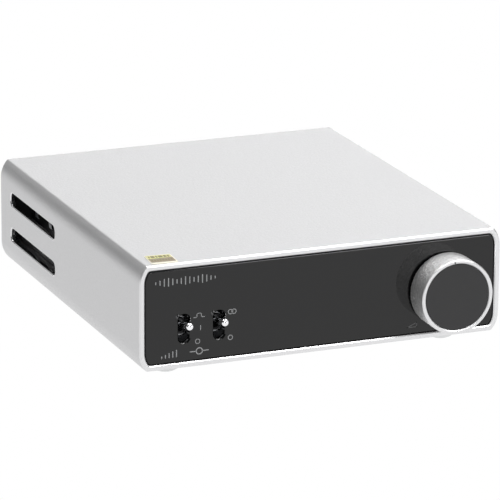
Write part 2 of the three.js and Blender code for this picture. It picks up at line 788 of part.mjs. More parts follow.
function rearPanel() {
  const outline = sleeveOutline(WALL + REAR_CLEAR);
  const holes = [[DC_X, DC_Z, DC_NECK_R + GAP], [TRIGGER_X, TRIGGER_Z, TRIGGER_NECK_R + GAP]];
  for (const x of Object.values(JACK_XS)) {
    holes.push([x, JACK_Z, JACK_BUSH_R + GAP]);
  }
  for (const z of Object.values(RCA_ZS)) {
    holes.push([RCA_X, z, RCA_NECK_R + GAP]);
  }
  for (const x of postXs) {
    holes.push([x, POST_Z, POST_NECK_R + GAP]);
  }
  for (const side of SIDES) {
    for (const up of SIDES) {
      holes.push([side * BOSS_X, MID_Z + up * BOSS_RISE, SCREW.shankR + SCREW.clear]);
    }
  }
  const cutters = holes.map(([x, z, radius]) =>
    at(rod(radius, REAR_INNER - PAST, REAR_FACE + PAST, SMALL_ROUND), x, 0, z),
  );
  return carve([alongY(outline, REAR_INNER, REAR_FACE, PLATE_EDGE)], cutters);
}

place('rear_panel', rearPanel(), 'rearPanel');

function panScrew() {
  const { headR, headT, shankR, length } = SCREW;
  const body = turned([
    [0, -length],
    [shankR - SCREW_POINT.narrowing, -length],
    [shankR, -length + SCREW_POINT.length],
    [shankR, SEAT],
    [headR, SEAT],
    [headR, SCREW_CROWN.edge],
    [headR - SCREW_CROWN.narrowing, headT],
    [0, headT],
  ], SMALL_ROUND);
  const { arm, blade, depth } = SCREW_CROSS;
  const y0 = headT - depth;
  const y1 = headT + PAST;
  return carve([body], [box(-arm, arm, y0, y1, -blade, blade), box(-blade, blade, y0, y1, -arm, arm)]);
}

for (const [level, up] of [['bottom', -1], ['top', 1]]) {
  for (const [side, sign] of [['left', -1], ['right', 1]]) {
    const geometry = at(panScrew(), sign * BOSS_X, REAR_FACE, MID_Z + up * BOSS_RISE);
    place(`rear_screw_${level}_${side}`, geometry, 'screw');
  }
}

// ---------------------------------------------------------------- rear sockets

function balancedJack() {
  const outline = rectangle(-JACK.half, JACK.half, ON_BOARD - JACK_Z, JACK.half);
  const block = alongY(outline, JACK.y0, BODY_Y1, BODY_EDGE);
  const end = REAR_FACE + JACK.proud;
  const bushing = rod(JACK_BUSH_R, BODY_Y1 - PAST, end);
  const bore = rod(JACK_BORE_R, JACK.y0 + JACK.back, end + PAST);
  return carve([block, bushing], [bore]);
}

for (const [side, x] of Object.entries(JACK_XS)) {
  place(`balanced_jack_${side}`, at(balancedJack(), x, 0, JACK_Z), 'plastic');
  const { acrossFlats, thickness, clear } = JACK_NUT;
  const nut = hexNut(acrossFlats, JACK_BUSH_R + clear, REAR_FACE + SEAT, thickness);
  place(`balanced_jack_nut_${side}`, at(nut, x, 0, JACK_Z), 'steel');
}

// One moulding: the block on the board and, for each socket, a core with the contact's hole.
// The metal shell stands in a groove round the core.
function rcaHousing() {
  const { y0, half } = RCA_BODY;
  const zs = Object.values(RCA_ZS);
  const top = Math.max(...zs) + half;
  const added = [alongY(rectangle(-half, half, ON_BOARD, top), y0, BODY_Y1, BODY_EDGE)];
  const grooves = [];
  const contacts = [];
  for (const z of zs) {
    const groove = ring(RCA_CORE_R, RCA_SHELL_R + SLEEVE_SLIP, RCA_GROOVE_Y0, BODY_Y1 + PAST);
    const core = rod(RCA_CORE_R, RCA_GROOVE_Y0 - PAST, RCA_END - RCA_CORE_BACK);
    const contactY0 = BODY_Y1 - RCA_CONTACT_DEPTH;
    grooves.push(at(groove, 0, 0, z));
    added.push(at(core, 0, 0, z));
    contacts.push(at(rod(RCA_CONTACT_R, contactY0, RCA_END + PAST, TINY_ROUND), 0, 0, z));
  }
  return at(carve(added, [...grooves, ...contacts]), RCA_X, 0, 0);
}

place('rca_housing', rcaHousing(), 'black');

function rcaShell() {
  return ring(RCA_CORE_R + SLEEVE_SLIP, RCA_SHELL_R, RCA_GROOVE_Y0 + SEAT, RCA_END);
}

function rcaCollar() {
  const inner = RCA_SHELL_R + SLEEVE_SLIP;
  const flangeR = RCA_NECK_R + RCA_FLANGE.width;
  const end = REAR_FACE + RCA_FLANGE.thickness;
  return turned([
    [inner, BODY_Y1 + SEAT],
    [RCA_NECK_R, BODY_Y1 + SEAT],
    [RCA_NECK_R, REAR_FACE + SEAT],
    [flangeR, REAR_FACE + SEAT],
    [flangeR, end],
    [inner, end],
    [inner, BODY_Y1 + SEAT],
  ]);
}

for (const [side, z] of Object.entries(RCA_ZS)) {
  place(`rca_shell_${side}`, at(rcaShell(), RCA_X, 0, z), 'brass');
  place(`rca_collar_${side}`, at(rcaCollar(), RCA_X, 0, z), side === 'left' ? 'white' : 'red');
}

function dcInlet() {
  const { y0, half, above } = DC_BODY;
  const block = alongY(rectangle(-half, half, ON_BOARD - DC_Z, above), y0, BODY_Y1, BODY_EDGE);
  const end = REAR_FACE + NECK_PROUD;
  const neck = rod(DC_NECK_R, BODY_Y1 - PAST, end);
  const well = ring(DC_WELL.pinR, DC_WELL.radius, REAR_FACE - DC_WELL.depth, end + PAST, SMALL_ROUND);
  return carve([block, neck], [well]);
}

place('dc_inlet', at(dcInlet(), DC_X, 0, DC_Z), 'plastic');

function triggerJack() {
  const { y0, half, above, edge } = TRIGGER_BODY;
  const block = alongY(rectangle(-half, half, ON_BOARD - TRIGGER_Z, above), y0, BODY_Y1, edge);
  const end = REAR_FACE + NECK_PROUD;
  const neck = rod(TRIGGER_NECK_R, BODY_Y1 - PAST, end, SMALL_ROUND);
  const bore = rod(TRIGGER_BORE_R, y0 + TRIGGER_BACK, end + PAST, SMALL_ROUND);
  return carve([block, neck], [bore]);
}

place('trigger_jack', at(triggerJack(), TRIGGER_X, 0, TRIGGER_Z), 'plastic');

// ---------------------------------------------------------------- speaker terminals

function postBase() {
  const inner = POST_STEM_R + SLIP;
  const end = REAR_FACE + POST_FLANGE_T;
  return turned([
    [inner, SHOULDER_Y1 + SEAT],
    [POST_NECK_R, SHOULDER_Y1 + SEAT],
    [POST_NECK_R, REAR_FACE + SEAT],
    [POST_FLANGE_R, REAR_FACE + SEAT],
    [POST_FLANGE_R, end - POST_FLANGE_EDGE],
    [POST_FLANGE_R - POST_FLANGE_EDGE, end],
    [inner, end],
    [inner, SHOULDER_Y1 + SEAT],
  ]);
}

function postStem() {
  const pinY0 = OUTPUT_BOARD_Y0 - PIN_PROUD;
  const shoulderY0 = SHOULDER_Y1 - SHOULDER_T;
  return turned([
    [0, pinY0],
    [PIN_R, pinY0],
    [PIN_R, shoulderY0],
    [SHOULDER_R, shoulderY0],
    [SHOULDER_R, SHOULDER_Y1],
    [POST_STEM_R, SHOULDER_Y1],
    [POST_STEM_R, STEM_END],
    [BANANA_R, STEM_END],
    [BANANA_R, REAR_INNER],
    [0, REAR_INNER],
  ]);
}

function postCap() {
  const shell = alongY(fluted(CAP_R, CAP_FLUTE_DEPTH, CAP_FLUTES), CAP_Y0, CAP_Y1, CAP_EDGE);
  const cavity = rod(CAP_CAVITY_R, CAP_Y0 - PAST, CAP_Y0 + CAP_CAVITY_L);
  const plugHole = rod(BANANA_R + BANANA_CLEAR, CAP_Y0, CAP_Y1 + PAST, SMALL_ROUND);
  return carve([shell], [cavity, plugHole]);
}

POST_NAMES.forEach((name, i) => {
  const x = postXs[i];
  const colour = name.endsWith('plus') ? 'red' : 'black';
  place(`post_base_${name}`, at(postBase(), x, 0, POST_Z), 'black');
  place(`post_stem_${name}`, at(postStem(), x, 0, POST_Z), 'brass');
  place(`post_cap_${name}`, at(postCap(), x, 0, POST_Z), colour);
  const insert = ring(POST_STEM_R + SLIP, INSERT_R, CAP_Y0 + SLIP, CAP_Y0 + INSERT_L);
  place(`post_insert_${name}`, at(insert, x, 0, POST_Z), 'brass');
});

// The output board stands behind the terminals on two legs, clear of the low sockets.
function outputBoard() {
  const { leftMargin, rightMargin, leg, step, top } = OUTPUT_BOARD;
  const left = postXs[0] - leftMargin;
  const right = postXs[postXs.length - 1] + rightMargin;
  const outline = new THREE.Shape([
    new THREE.Vector2(left, ON_BOARD),
    new THREE.Vector2(left + leg, ON_BOARD),
    new THREE.Vector2(left + leg, step),
    new THREE.Vector2(right - leg, step),
    new THREE.Vector2(right - leg, ON_BOARD),
    new THREE.Vector2(right, ON_BOARD),
    new THREE.Vector2(right, top),
    new THREE.Vector2(left, top),
  ]);
  const y1 = OUTPUT_BOARD_Y0 + OUTPUT_BOARD_T;
  const holes = postXs.map((x) =>
    at(rod(PIN_R + GAP, OUTPUT_BOARD_Y0 - PAST, y1 + PAST, TINY_ROUND), x, 0, POST_Z),
  );
  return carve([alongY(outline, OUTPUT_BOARD_Y0, y1)], holes);
}

place('output_board', outputBoard(), 'board');

export default amplifier;
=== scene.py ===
import math

import bmesh
import bpy
from mathutils import Matrix, Quaternion, Vector
from mathutils.geometry import tessellate_polygon


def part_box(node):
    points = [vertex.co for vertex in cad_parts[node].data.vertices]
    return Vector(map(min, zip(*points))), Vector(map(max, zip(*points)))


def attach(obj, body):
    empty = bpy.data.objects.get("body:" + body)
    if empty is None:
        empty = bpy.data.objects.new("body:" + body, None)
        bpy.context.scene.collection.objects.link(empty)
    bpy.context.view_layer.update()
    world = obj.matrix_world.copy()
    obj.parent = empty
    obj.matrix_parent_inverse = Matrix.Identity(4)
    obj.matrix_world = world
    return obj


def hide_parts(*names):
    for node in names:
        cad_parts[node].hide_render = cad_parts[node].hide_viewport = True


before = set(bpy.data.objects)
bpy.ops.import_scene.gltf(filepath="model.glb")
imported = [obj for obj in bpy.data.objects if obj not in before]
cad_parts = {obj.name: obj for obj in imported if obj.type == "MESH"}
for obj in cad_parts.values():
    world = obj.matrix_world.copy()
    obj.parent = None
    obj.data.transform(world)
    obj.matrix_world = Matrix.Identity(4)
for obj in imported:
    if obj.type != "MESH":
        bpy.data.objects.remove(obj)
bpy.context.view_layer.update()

# -------- places and sizes
# Millimetres in the part's own frame: x to the right, y from the casing's front edge to the
# rear, z up from the floor. place() turns them into metres in the row frame.

MM = 0.001
FRONT_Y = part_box("casing")[0].y


def place(x, y, z):
    return Vector((x * MM, FRONT_Y + y * MM, z * MM))


def node_box(node):
    """A CAD node's box as (x0, x1, y0, y1, z0, z1) in millimetres."""
    low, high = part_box(node)
    return (
        low.x / MM, high.x / MM,
        (low.y - FRONT_Y) / MM, (high.y - FRONT_Y) / MM,
        low.z / MM, high.z / MM,
    )


def centre(node):
    x0, x1, y0, y1, z0, z1 = node_box(node)
    return (x0 + x1) / 2, (y0 + y1) / 2, (z0 + z1) / 2


case_x0, case_x1, _, CASE_D, CASE_Z0, CASE_Z1 = node_box("casing")
CASE_W = case_x1 - case_x0
CASE_H = CASE_Z1 - CASE_Z0
MID_Z = (CASE_Z0 + CASE_Z1) / 2
WALL = 2.2
CORNER_R, CORNER_DROP = 10.5, 7.3
CREASE_R, CREASE_GAIN = 0.9, 0.35
EDGE_CHAMFER, MOUTH_CHAMFER = 0.5, 0.45

SLOT_L, SLOT_H, SLOT_R, SLOT_CHAMFER = 54, 5.5, 2.3, 0.36
SLOT_Y, SLOT_RISE = 123, 7.5

POSTS = ("left_minus", "left_plus", "right_minus", "right_plus")
SIDES = {"left": -1, "right": 1}

# -------- camera, at the photo's angle

CAMERA_AT = (-580.25, -1344.57, 487.34)
CAMERA_FORWARD = Vector((0.36252, 0.88625, -0.28834))
CAMERA_ROLL = math.radians(0.38)
CAMERA_LENS = 288.107


def put(name, data):
    """A new object of that data, in the scene."""
    obj = bpy.data.objects.new(name, data)
    bpy.context.scene.collection.objects.link(obj)
    return obj


camera = put("camera", bpy.data.cameras.new("camera"))
camera.data.sensor_width = 36
camera.data.lens = CAMERA_LENS
camera.data.clip_start = 0.05
camera.data.clip_end = 50
camera.location = place(*CAMERA_AT)
camera.rotation_mode = "QUATERNION"
aim = CAMERA_FORWARD.to_track_quat("-Z", "Y")
camera.rotation_quaternion = aim @ Quaternion((0, 0, 1), CAMERA_ROLL)
bpy.context.scene.camera = camera

# -------- outlines (u across, v up)


def arc(cx, cy, radius, start, stop, steps):
    for i in range(steps + 1):
        turn = start + (stop - start) * i / steps
        yield (cx + radius * math.cos(turn), cy + radius * math.sin(turn))


def rounded(width, height, radius, cx=0.0, cy=0.0, steps=12, turn=0.0):
    """An outline function: offset -> points of a rounded rectangle grown by that offset."""

    def outline(offset=0.0):
        half_w, half_h = width / 2 - radius, height / 2 - radius
        points = []
        for k, (sx, sy) in enumerate(((1, 1), (-1, 1), (-1, -1), (1, -1))):
            start = k * math.pi / 2
            points += arc(sx * half_w, sy * half_h, max(radius + offset, 0.01), start,
                          start + math.pi / 2, steps)
        c, s = math.cos(turn), math.sin(turn)
        return [(cx + x * c - y * s, cy + x * s + y * c) for x, y in points]

    return outline


ARC_STEPS, CREASE_STEPS = 18, 6


def sleeve(inset=0.0):
    """The casing's outline moved in by inset: each corner is an arc that leaves the side
    smoothly and meets the flat top or bottom at a slightly rounded crease."""
    arc_x, arc_rise = CASE_W / 2 - CORNER_R, CASE_H / 2 - CORNER_DROP

    def outline(offset=0.0):
        grow = offset - inset
        soft = CREASE_R - CREASE_GAIN * grow
        reach, rise = CORNER_R + grow - soft, CASE_H / 2 + grow - soft
        crease = math.asin((rise - arc_rise) / reach)
        quadrant = list(arc(arc_x, arc_rise, CORNER_R + grow, 0, crease, ARC_STEPS))
        quadrant += list(arc(arc_x + reach * math.cos(crease), rise, soft, crease, math.pi / 2,
                             CREASE_STEPS))[1:]
        back = quadrant[::-1]
        points = quadrant + [(-x, z) for x, z in back]
        points += [(-x, -z) for x, z in quadrant] + [(x, -z) for x, z in back]
        return [(x, MID_Z + z) for x, z in points]

    return outline


def circle(radius, cx=0.0, cy=0.0, steps=48):
    def outline(offset=0.0):
        return list(arc(cx, cy, radius + offset, 0, 2 * math.pi, steps))[:-1]

    return outline


def polygon(points):
    def outline(offset=0.0):
        return list(points)

    return outline


def soften(profile, amount, closed=False, steps=3):
    """The profile with each corner rounded, starting that far before and after it."""
    points = [Vector(p) for p in profile]
    count = len(points)
    out = []
    for i, p in enumerate(points):
        if not closed and i in (0, count - 1):
            out.append(tuple(p))
            continue
        before, after = points[i - 1] - p, points[(i + 1) % count] - p
        if before.length < 1e-9 or after.length < 1e-9:
            continue
        reach = min(amount, before.length * 0.45, after.length * 0.45)
        a, b = p + before.normalized() * reach, p + after.normalized() * reach
        for k in range(steps + 1):
            t = k / steps
            out.append(tuple(a * (1 - t) ** 2 + p * (2 * t * (1 - t)) + b * t * t))
    return out


# -------- meshes


def along_x(u, v, t):
    return place(t, u, v)


def along_y(u, v, t):
    return place(u, t, v)


def along_z(u, v, t):
    return place(u, v, t)


def ring_of(bm, points):
    return [bm.verts.new(p) for p in points]


def skin(bm, rings, closed=False, skip=()):
    """Faces between each ring of vertices and the next; a ring of one vertex is a pole."""
    faces = []
    following = rings[1:] + (rings[:1] if closed else [])
    for a, b in zip(rings, following):
        count = max(len(a), len(b))
        for i in range(count):
            j = (i + 1) % count
            if i in skip:
                continue
            if len(a) == 1:
                faces.append(bm.faces.new((a[0], b[j], b[i])))
            elif len(b) == 1:
                faces.append(bm.faces.new((a[i], a[j], b[0])))
            else:
                faces.append(bm.faces.new((a[i], a[j], b[j], b[i])))
    return faces


def flat_cap(bm, rings):
    """The flat face inside the first ring and outside the others."""
    if len(rings) == 1:
        bm.faces.new(rings[0])
        return
    verts = [v for r in rings for v in r]
    for triangle in tessellate_polygon([[v.co for v in r] for r in rings]):
        if len(set(triangle)) == 3:
            bm.faces.new([verts[i] for i in triangle])


def loft(bm, outline, profile, to3d=along_y, holes=()):
    """A solid between two flat ends. profile lists (offset, t) from one end to the other;
    holes lists (outline, profile) pairs that run through it."""
    walls = []
    for shape, steps in ((outline, profile), *holes):
        rings = [ring_of(bm, [to3d(u, v, t) for u, v in shape(o)]) for o, t in steps]
        skin(bm, rings)
        walls.append(rings)
    flat_cap(bm, [rings[0] for rings in walls])
    flat_cap(bm, [rings[-1] for rings in walls])


def edged(t0, t1, edge, soft=0.06, room=0.3):
    """The profile of a plate or block from t0 to t1 with its end edges chamfered and softened.
    room is how far in from the chamfer the flat end's own outline lies."""
    way = 1 if t1 > t0 else -1
    profile = [
        (-edge - room, t0), (-edge, t0), (0, t0 + way * edge), (0, t1 - way * edge),
        (-edge, t1), (-edge - room, t1),
    ]
    return soften(profile, soft)


def flared(t0, t1, edge, soft=0.04):
    """The profile of a hole from t0 to t1 whose two mouths are chamfered."""
    way = 1 if t1 > t0 else -1
    profile = [(edge, t0), (0, t0 + way * edge), (0, t1 - way * edge), (edge, t1)]
    return soften([(edge + 0.1, t0), *profile, (edge + 0.1, t1)], soft)


def block(bm, x0, x1, y0, y1, z0, z1, corner, edge, to3d=along_y):
    """A box with rounded long edges and softened ends, standing along Y or Z."""
    if to3d is along_y:
        u0, u1, v0, v1, t0, t1 = x0, x1, z0, z1, y0, y1
    else:
        u0, u1, v0, v1, t0, t1 = x0, x1, y0, y1, z0, z1
    corner = min(corner, min(u1 - u0, v1 - v0) * 0.49)
    edge = min(edge, corner * 0.6)
    outline = rounded(u1 - u0, v1 - v0, corner, (u0 + u1) / 2, (v0 + v1) / 2, 4)
    loft(bm, outline, edged(t0, t1, edge, edge * 0.3, (corner - edge) * 0.8), to3d)


POLE_R = 1e-6  # a ring narrower than this is one vertex


def turned(bm, profile, x, z, sides=64, closed=False, shape=None):
    """A round body about a line along Y through (x, z). shape may change a point's radius by its
    angle. The profile lists (radius, y)."""
    rings = []
    for radius, y in profile:
        points = []
        for i in range(1 if radius < POLE_R else sides):
            turn = 2 * math.pi * i / sides
            r = shape(radius, turn) if shape else radius
            points.append(place(x + r * math.cos(turn), y, z + r * math.sin(turn)))
        rings.append(ring_of(bm, points))
    skin(bm, rings, closed)


def turned_up(bm, profile, x, y, sides):
    """A round body about a line along Z through (x, y). The profile lists (radius, z)."""
    rings = []
    for radius, z in profile:
        ring = [(x, y)] if radius < POLE_R else circle(radius, x, y, sides)()
        rings.append(ring_of(bm, [place(u, v, z) for u, v in ring]))
    skin(bm, rings)


def carry(bm, x, y, z, angle, axis):
    """Turns a mesh that was made round the origin of place(), and moves it to (x, y, z)."""
    turn = Matrix.Translation(place(x, y, z)) @ Matrix.Rotation(angle, 4, axis)
    bmesh.ops.transform(bm, matrix=turn @ Matrix.Translation(-place(0, 0, 0)), verts=bm.verts)


def hexagonal(across_flats):
    def shape(radius, turn):
        folded = (turn % (math.pi / 3)) - math.pi / 6
        return min(radius, across_flats / 2 / math.cos(folded))

    return shape


def fluted(radius, depth, flutes):
    def shape(r, turn):
        share = max(0.0, (r - radius * 0.8) / (radius * 0.2))
        return r - depth * share * 0.5 * (1 - math.cos(flutes * turn))

    return shape


SMOOTH_ANGLE = math.radians(30)


def put_mesh(name, bm):
    mesh = bpy.data.meshes.new(name)
    bm.to_mesh(mesh)
    bm.free()
    return put(name, mesh)


def mark_edges(bm, mesh):
    """Marks the edges sharper than SMOOTH_ANGLE, and moves the bmesh into the mesh."""
    for edge in bm.edges:
        edge.smooth = edge.calc_face_angle(math.pi) < SMOOTH_ANGLE
    bm.to_mesh(mesh)
    bm.free()


def piece(name, bm, slot, materials, body="chassis", replaces=(), bevel=0.0):
    """The mesh as a piece of the model: it rides on the body, takes the materials given, and
    stands for the replaced CAD nodes. The slot is not used."""
    bmesh.ops.recalc_face_normals(bm, faces=bm.faces[:])
    for face in bm.faces:
        face.smooth = True
    mesh = bpy.data.meshes.new(name)
    mark_edges(bm, mesh)
    obj = put(name, mesh)
    for material in materials if isinstance(materials, list) else [materials]:
        mesh.materials.append(material)
    if bevel:
        made = obj.modifiers.new("edges", "BEVEL")
        made.width = bevel * MM
        made.segments = 2
        made.limit_method = "ANGLE"
        made.angle_limit = SMOOTH_ANGLE
    normals = obj.modifiers.new("normals", "WEIGHTED_NORMAL")
    normals.keep_sharp = True
    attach(obj, body)
    if replaces:
        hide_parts(*replaces)
    return obj


def turned_piece(name, profile, x, z, slot, material, sides=64, closed=True, soft=0.0, shape=None,
                 **ties):
    bm = bmesh.new()
    turned(bm, soften(profile, soft, closed) if soft else profile, x, z, sides, closed, shape)
    piece(name, bm, slot, material, **ties)


def lofted_piece(name, outline, profile, slot, material, to3d=along_y, holes=(), **ties):
    bm = bmesh.new()
    loft(bm, outline, profile, to3d, holes)
    return piece(name, bm, slot, material, **ties)


def block_piece(name, box, corner, edge, slot, material, to3d=along_y, **ties):
    bm = bmesh.new()
    block(bm, *box, corner, edge, to3d)
    piece(name, bm, slot, material, **ties)


def cutter(bm):
    bmesh.ops.recalc_face_normals(bm, faces=bm.faces[:])
    return put_mesh("cutter", bm)


def cut(obj, cutters):
    """Cuts the cutters' meshes out of the piece and leaves plain mesh behind."""
    bpy.context.view_layer.update()
    others = list(obj.modifiers)
    for m in others:
        m.show_viewport = False
    booleans = []
    for tool in cutters:
        boolean = obj.modifiers.new("cut", "BOOLEAN")
        boolean.operation = "DIFFERENCE"
        boolean.solver = "EXACT"
        boolean.object = tool
        obj.modifiers.move(len(obj.modifiers) - 1, 0)
        booleans.append(boolean)
    graph = bpy.context.evaluated_depsgraph_get()
    graph.update()
    made = bpy.data.meshes.new_from_object(obj.evaluated_get(graph))
    for m in others:
        m.show_viewport = True
    for boolean in booleans:
        obj.modifiers.remove(boolean)
    old = obj.data
    obj.data = made
    bpy.data.meshes.remove(old)
    bm = bmesh.new()
    bm.from_mesh(made)
    mark_edges(bm, made)
    for tool in cutters:
        bpy.data.meshes.remove(tool.data)


# -------- materials


def linear(*srgb):
    """A colour of sRGB levels from 0 to 255, as Blender takes it."""
    def one(value):
        c = value / 255
        return c / 12.92 if c <= 0.04045 else ((c + 0.055) / 1.055) ** 2.4

    return tuple(one(v) for v in srgb) + (1.0,)


class Nodes:
    """A material's node tree, with short calls for what the materials here share."""

    def __init__(self, name):
        self.material = bpy.data.materials.new(name)
        self.material.use_nodes = True
        self.tree = self.material.node_tree
        self.shader = self.tree.nodes["Principled BSDF"]
        self.where = self.add("ShaderNodeTexCoord").outputs["Object"]

    def feed(self, socket, value):
        """Sets the socket to a value, or links an output to it."""
        if isinstance(value, (int, float, tuple)):
            socket.default_value = value
        else:
            self.tree.links.new(value, socket)

    def add(self, kind, feeds=None, **settings):
        """A new node. feeds gives its inputs, by name or place, a value or another output."""
        node = self.tree.nodes.new(kind)
        for key, value in settings.items():
            setattr(node, key, value)
        for key, value in (feeds or {}).items():
            self.feed(node.inputs[key], value)
        return node

    def stretched(self, scale, turn=0.0):
        return self.add("ShaderNodeMapping", {
            "Scale": scale, "Rotation": (0, 0, turn), "Vector": self.where,
        }).outputs["Vector"]

    def noise(self, size, detail=3.0, rough=0.6, where=None):
        """Noise whose features are about size millimetres across."""
        return self.add("ShaderNodeTexNoise", {
            "Scale": 1 / (size * MM), "Detail": detail, "Roughness": rough,
            "Vector": where or self.where,
        }).outputs["Fac"]

    def ramp(self, value, *stops):
        """A colour ramp through (position, sRGB colour) stops."""
        node = self.add("ShaderNodeValToRGB", {"Fac": value})
        elements = node.color_ramp.elements
        for i, (position, colour) in enumerate(stops):
            element = elements[i] if i < 2 else elements.new(position)
            element.position = position
            element.color = linear(*colour)
        return node.outputs["Color"]

    def between(self, value, low, high, start=0.3, stop=0.7):
        return self.add("ShaderNodeMapRange", {
            "From Min": start, "From Max": stop, "To Min": low, "To Max": high, "Value": value,
        }).outputs["Result"]

    def split(self):
        return self.add("ShaderNodeSeparateXYZ", {"Vector": self.where}).outputs

    def maths(self, operation, a, b):
        return self.add("ShaderNodeMath", {0: a, 1: b}, operation=operation).outputs["Value"]

    def mix(self, share, a, b):
        """A mix of two colours: 6 and 7 are the node's inputs for colours."""
        return self.add("ShaderNodeMix", {0: share, 6: a, 7: b}, data_type="RGBA").outputs[2]

    def bump(self, height, depth):
        """Relief of depth millimetres."""
        return self.add("ShaderNodeBump", {
            "Distance": depth * MM, "Height": height,
        }).outputs["Normal"]

    def use(self, **sockets):
        for key, value in sockets.items():
            self.feed(self.shader.inputs[key.replace("_", " ")], value)
        return self.material


BLOTCH, METAL_BLOTCH = 6.0, 2.0


def finish_of(name, dark, light, roughness, spread=0.04, metallic=0.0, grain=0.3,
              relief=0.003):
    """A plain finish: two close tones in soft blotches, an uneven roughness and a fine grain."""
    n = Nodes(name)
    tone = n.ramp(n.noise(BLOTCH), (0.35, dark), (0.65, light))
    rough = n.between(n.noise(BLOTCH / 4), roughness - spread, roughness + spread)
    return n.use(Base_Color=tone, Metallic=metallic, Roughness=rough,
                 Normal=n.bump(n.noise(grain), relief))


def blasted(name, dark, light, roughness, relief, grain):
    """Bead-blasted, anodised aluminium: a fine matt grain that sparkles where the light falls
    off, in tone and in relief."""
    n = Nodes(name)
    fine, coarse = n.noise(grain, 2.0, 0.6), n.noise(grain * 1.9, 2.0, 0.5)
    tone = n.ramp(coarse, (0.3, dark), (0.7, light))
    rough = n.between(fine, roughness - 0.03, roughness + 0.03)
    height = n.maths("ADD", fine, n.maths("MULTIPLY", coarse, 1.6))
    return n.use(Base_Color=tone, Metallic=1.0, Roughness=rough,
                 Normal=n.bump(height, relief))


CASING = blasted("blasted_aluminium", (205, 205, 206), (208, 208, 209), 0.46, 0.055, 0.5)
KNOB = blasted("knob_aluminium", (220, 220, 220), (246, 246, 246), 0.45, 0.2, 0.55)


def cut_edge(name, roughness):
    """The bright, machined edges: fine lines run across them."""
    n = Nodes(name)
    lines = n.noise(0.25, 2.0, 0.5, n.stretched((1, 14, 1)))
    rough = n.between(n.noise(1.5), roughness - 0.03, roughness + 0.04)
    return n.use(Base_Color=linear(224, 224, 225), Metallic=1.0, Roughness=rough,
                 Normal=n.bump(lines, 0.0008))


EDGE = cut_edge("machined_edge", 0.38)
SLOT_EDGE = cut_edge("slot_edge", 0.17)


def gloss_black(name, tone, roughness, waviness):
    """Polished black plastic: mirror-like, with faint waves and a little haze."""
    n = Nodes(name)
    haze = n.between(n.noise(2.5, 5.0, 0.7), roughness * 0.6, roughness * 1.6)
    colour = n.ramp(n.noise(12.0), (0.3, tone), (0.7, [t + 2 for t in tone]))
    normal = n.bump(n.noise(18.0, 1.0, 0.4), waviness)
    return n.use(Base_Color=colour, Roughness=haze, Normal=normal, IOR=1.49)


PANEL = gloss_black("gloss_panel", (4, 4, 5), 0.012, 0.0003)
KNOB_FACE = gloss_black("knob_face_black", (32, 32, 33), 0.16, 0.002)


def plated(name, dark, light, roughness, wear=0.0006):
    """Plated or polished metal with hairline wear."""
    n = Nodes(name)
    tone = n.ramp(n.noise(METAL_BLOTCH), (0.3, dark), (0.7, light))
    hair = n.noise(0.3, 2.0, 0.5, n.stretched((1, 9, 1)))
    rough = n.between(n.noise(0.9, 4.0, 0.7), roughness * 0.7, roughness * 1.5)
    return n.use(Base_Color=tone, Metallic=1.0, Roughness=rough, Normal=n.bump(hair, wear))


CHROME = plated("chrome", (238, 238, 240), (246, 246, 248), 0.05, wear=0.0001)
BUSHING = plated("dark_nickel", (58, 58, 60), (74, 74, 76), 0.3)
STEEL = plated("zinc_plated_steel", (168, 170, 173), (192, 193, 196), 0.24)
TINNED = plated("tinned_lug", (226, 227, 229), (240, 241, 242), 0.42)
BRASS = plated("gold_plate", (205, 158, 78), (222, 178, 98), 0.16)
SCREW = plated("blackened_screw", (44, 44, 46), (60, 60, 62), 0.32)
BRACKET = finish_of("bracket_sheet", (132, 135, 139), (150, 153, 157), 0.42, metallic=0.9)
REAR = finish_of("powder_coat", (23, 23, 24), (29, 29, 30), 0.48, grain=0.35, relief=0.02)
FOOT = finish_of("silicone_foot", (206, 207, 207), (216, 217, 217), 0.42, 0.05, grain=0.5,
                 relief=0.004)
PLASTIC = finish_of("moulded_plastic", (20, 20, 22), (27, 27, 29), 0.42, 0.06, grain=0.12,
                    relief=0.006)
BLACK = finish_of("satin_black_plastic", (16, 16, 17), (23, 23, 24), 0.3, 0.05, grain=0.2)
RED = finish_of("red_plastic", (150, 24, 22), (172, 32, 28), 0.3, 0.05, grain=0.2)
WHITE = finish_of("white_plastic", (205, 204, 198), (216, 215, 209), 0.34, 0.05, grain=0.2)
SINK = finish_of("anodised_heat_sink", (44, 46, 49), (56, 58, 61), 0.4, metallic=0.7,
                 grain=0.2)
CHOKE = finish_of("ferrite", (40, 41, 43), (54, 55, 57), 0.5, relief=0.012)
FIBRE = finish_of("board_edge", (170, 163, 120), (190, 182, 140), 0.55, grain=0.2)
INK = finish_of("panel_ink", (128, 129, 130), (140, 141, 142), 0.5, grain=0.15, relief=0.002)
FAINT_INK = finish_of("faint_ink", (70, 70, 71), (78, 78, 79), 0.5, grain=0.15, relief=0.002)
MARK_PAINT = finish_of("mark_paint", (52, 52, 53), (62, 62, 63), 0.5, grain=0.15)
REAR_INK = finish_of("rear_ink", (196, 197, 198), (208, 209, 210), 0.55, grain=0.15,
                     relief=0.002)


TRACK_GAP, PAD_GAP = 3.2, 5.1


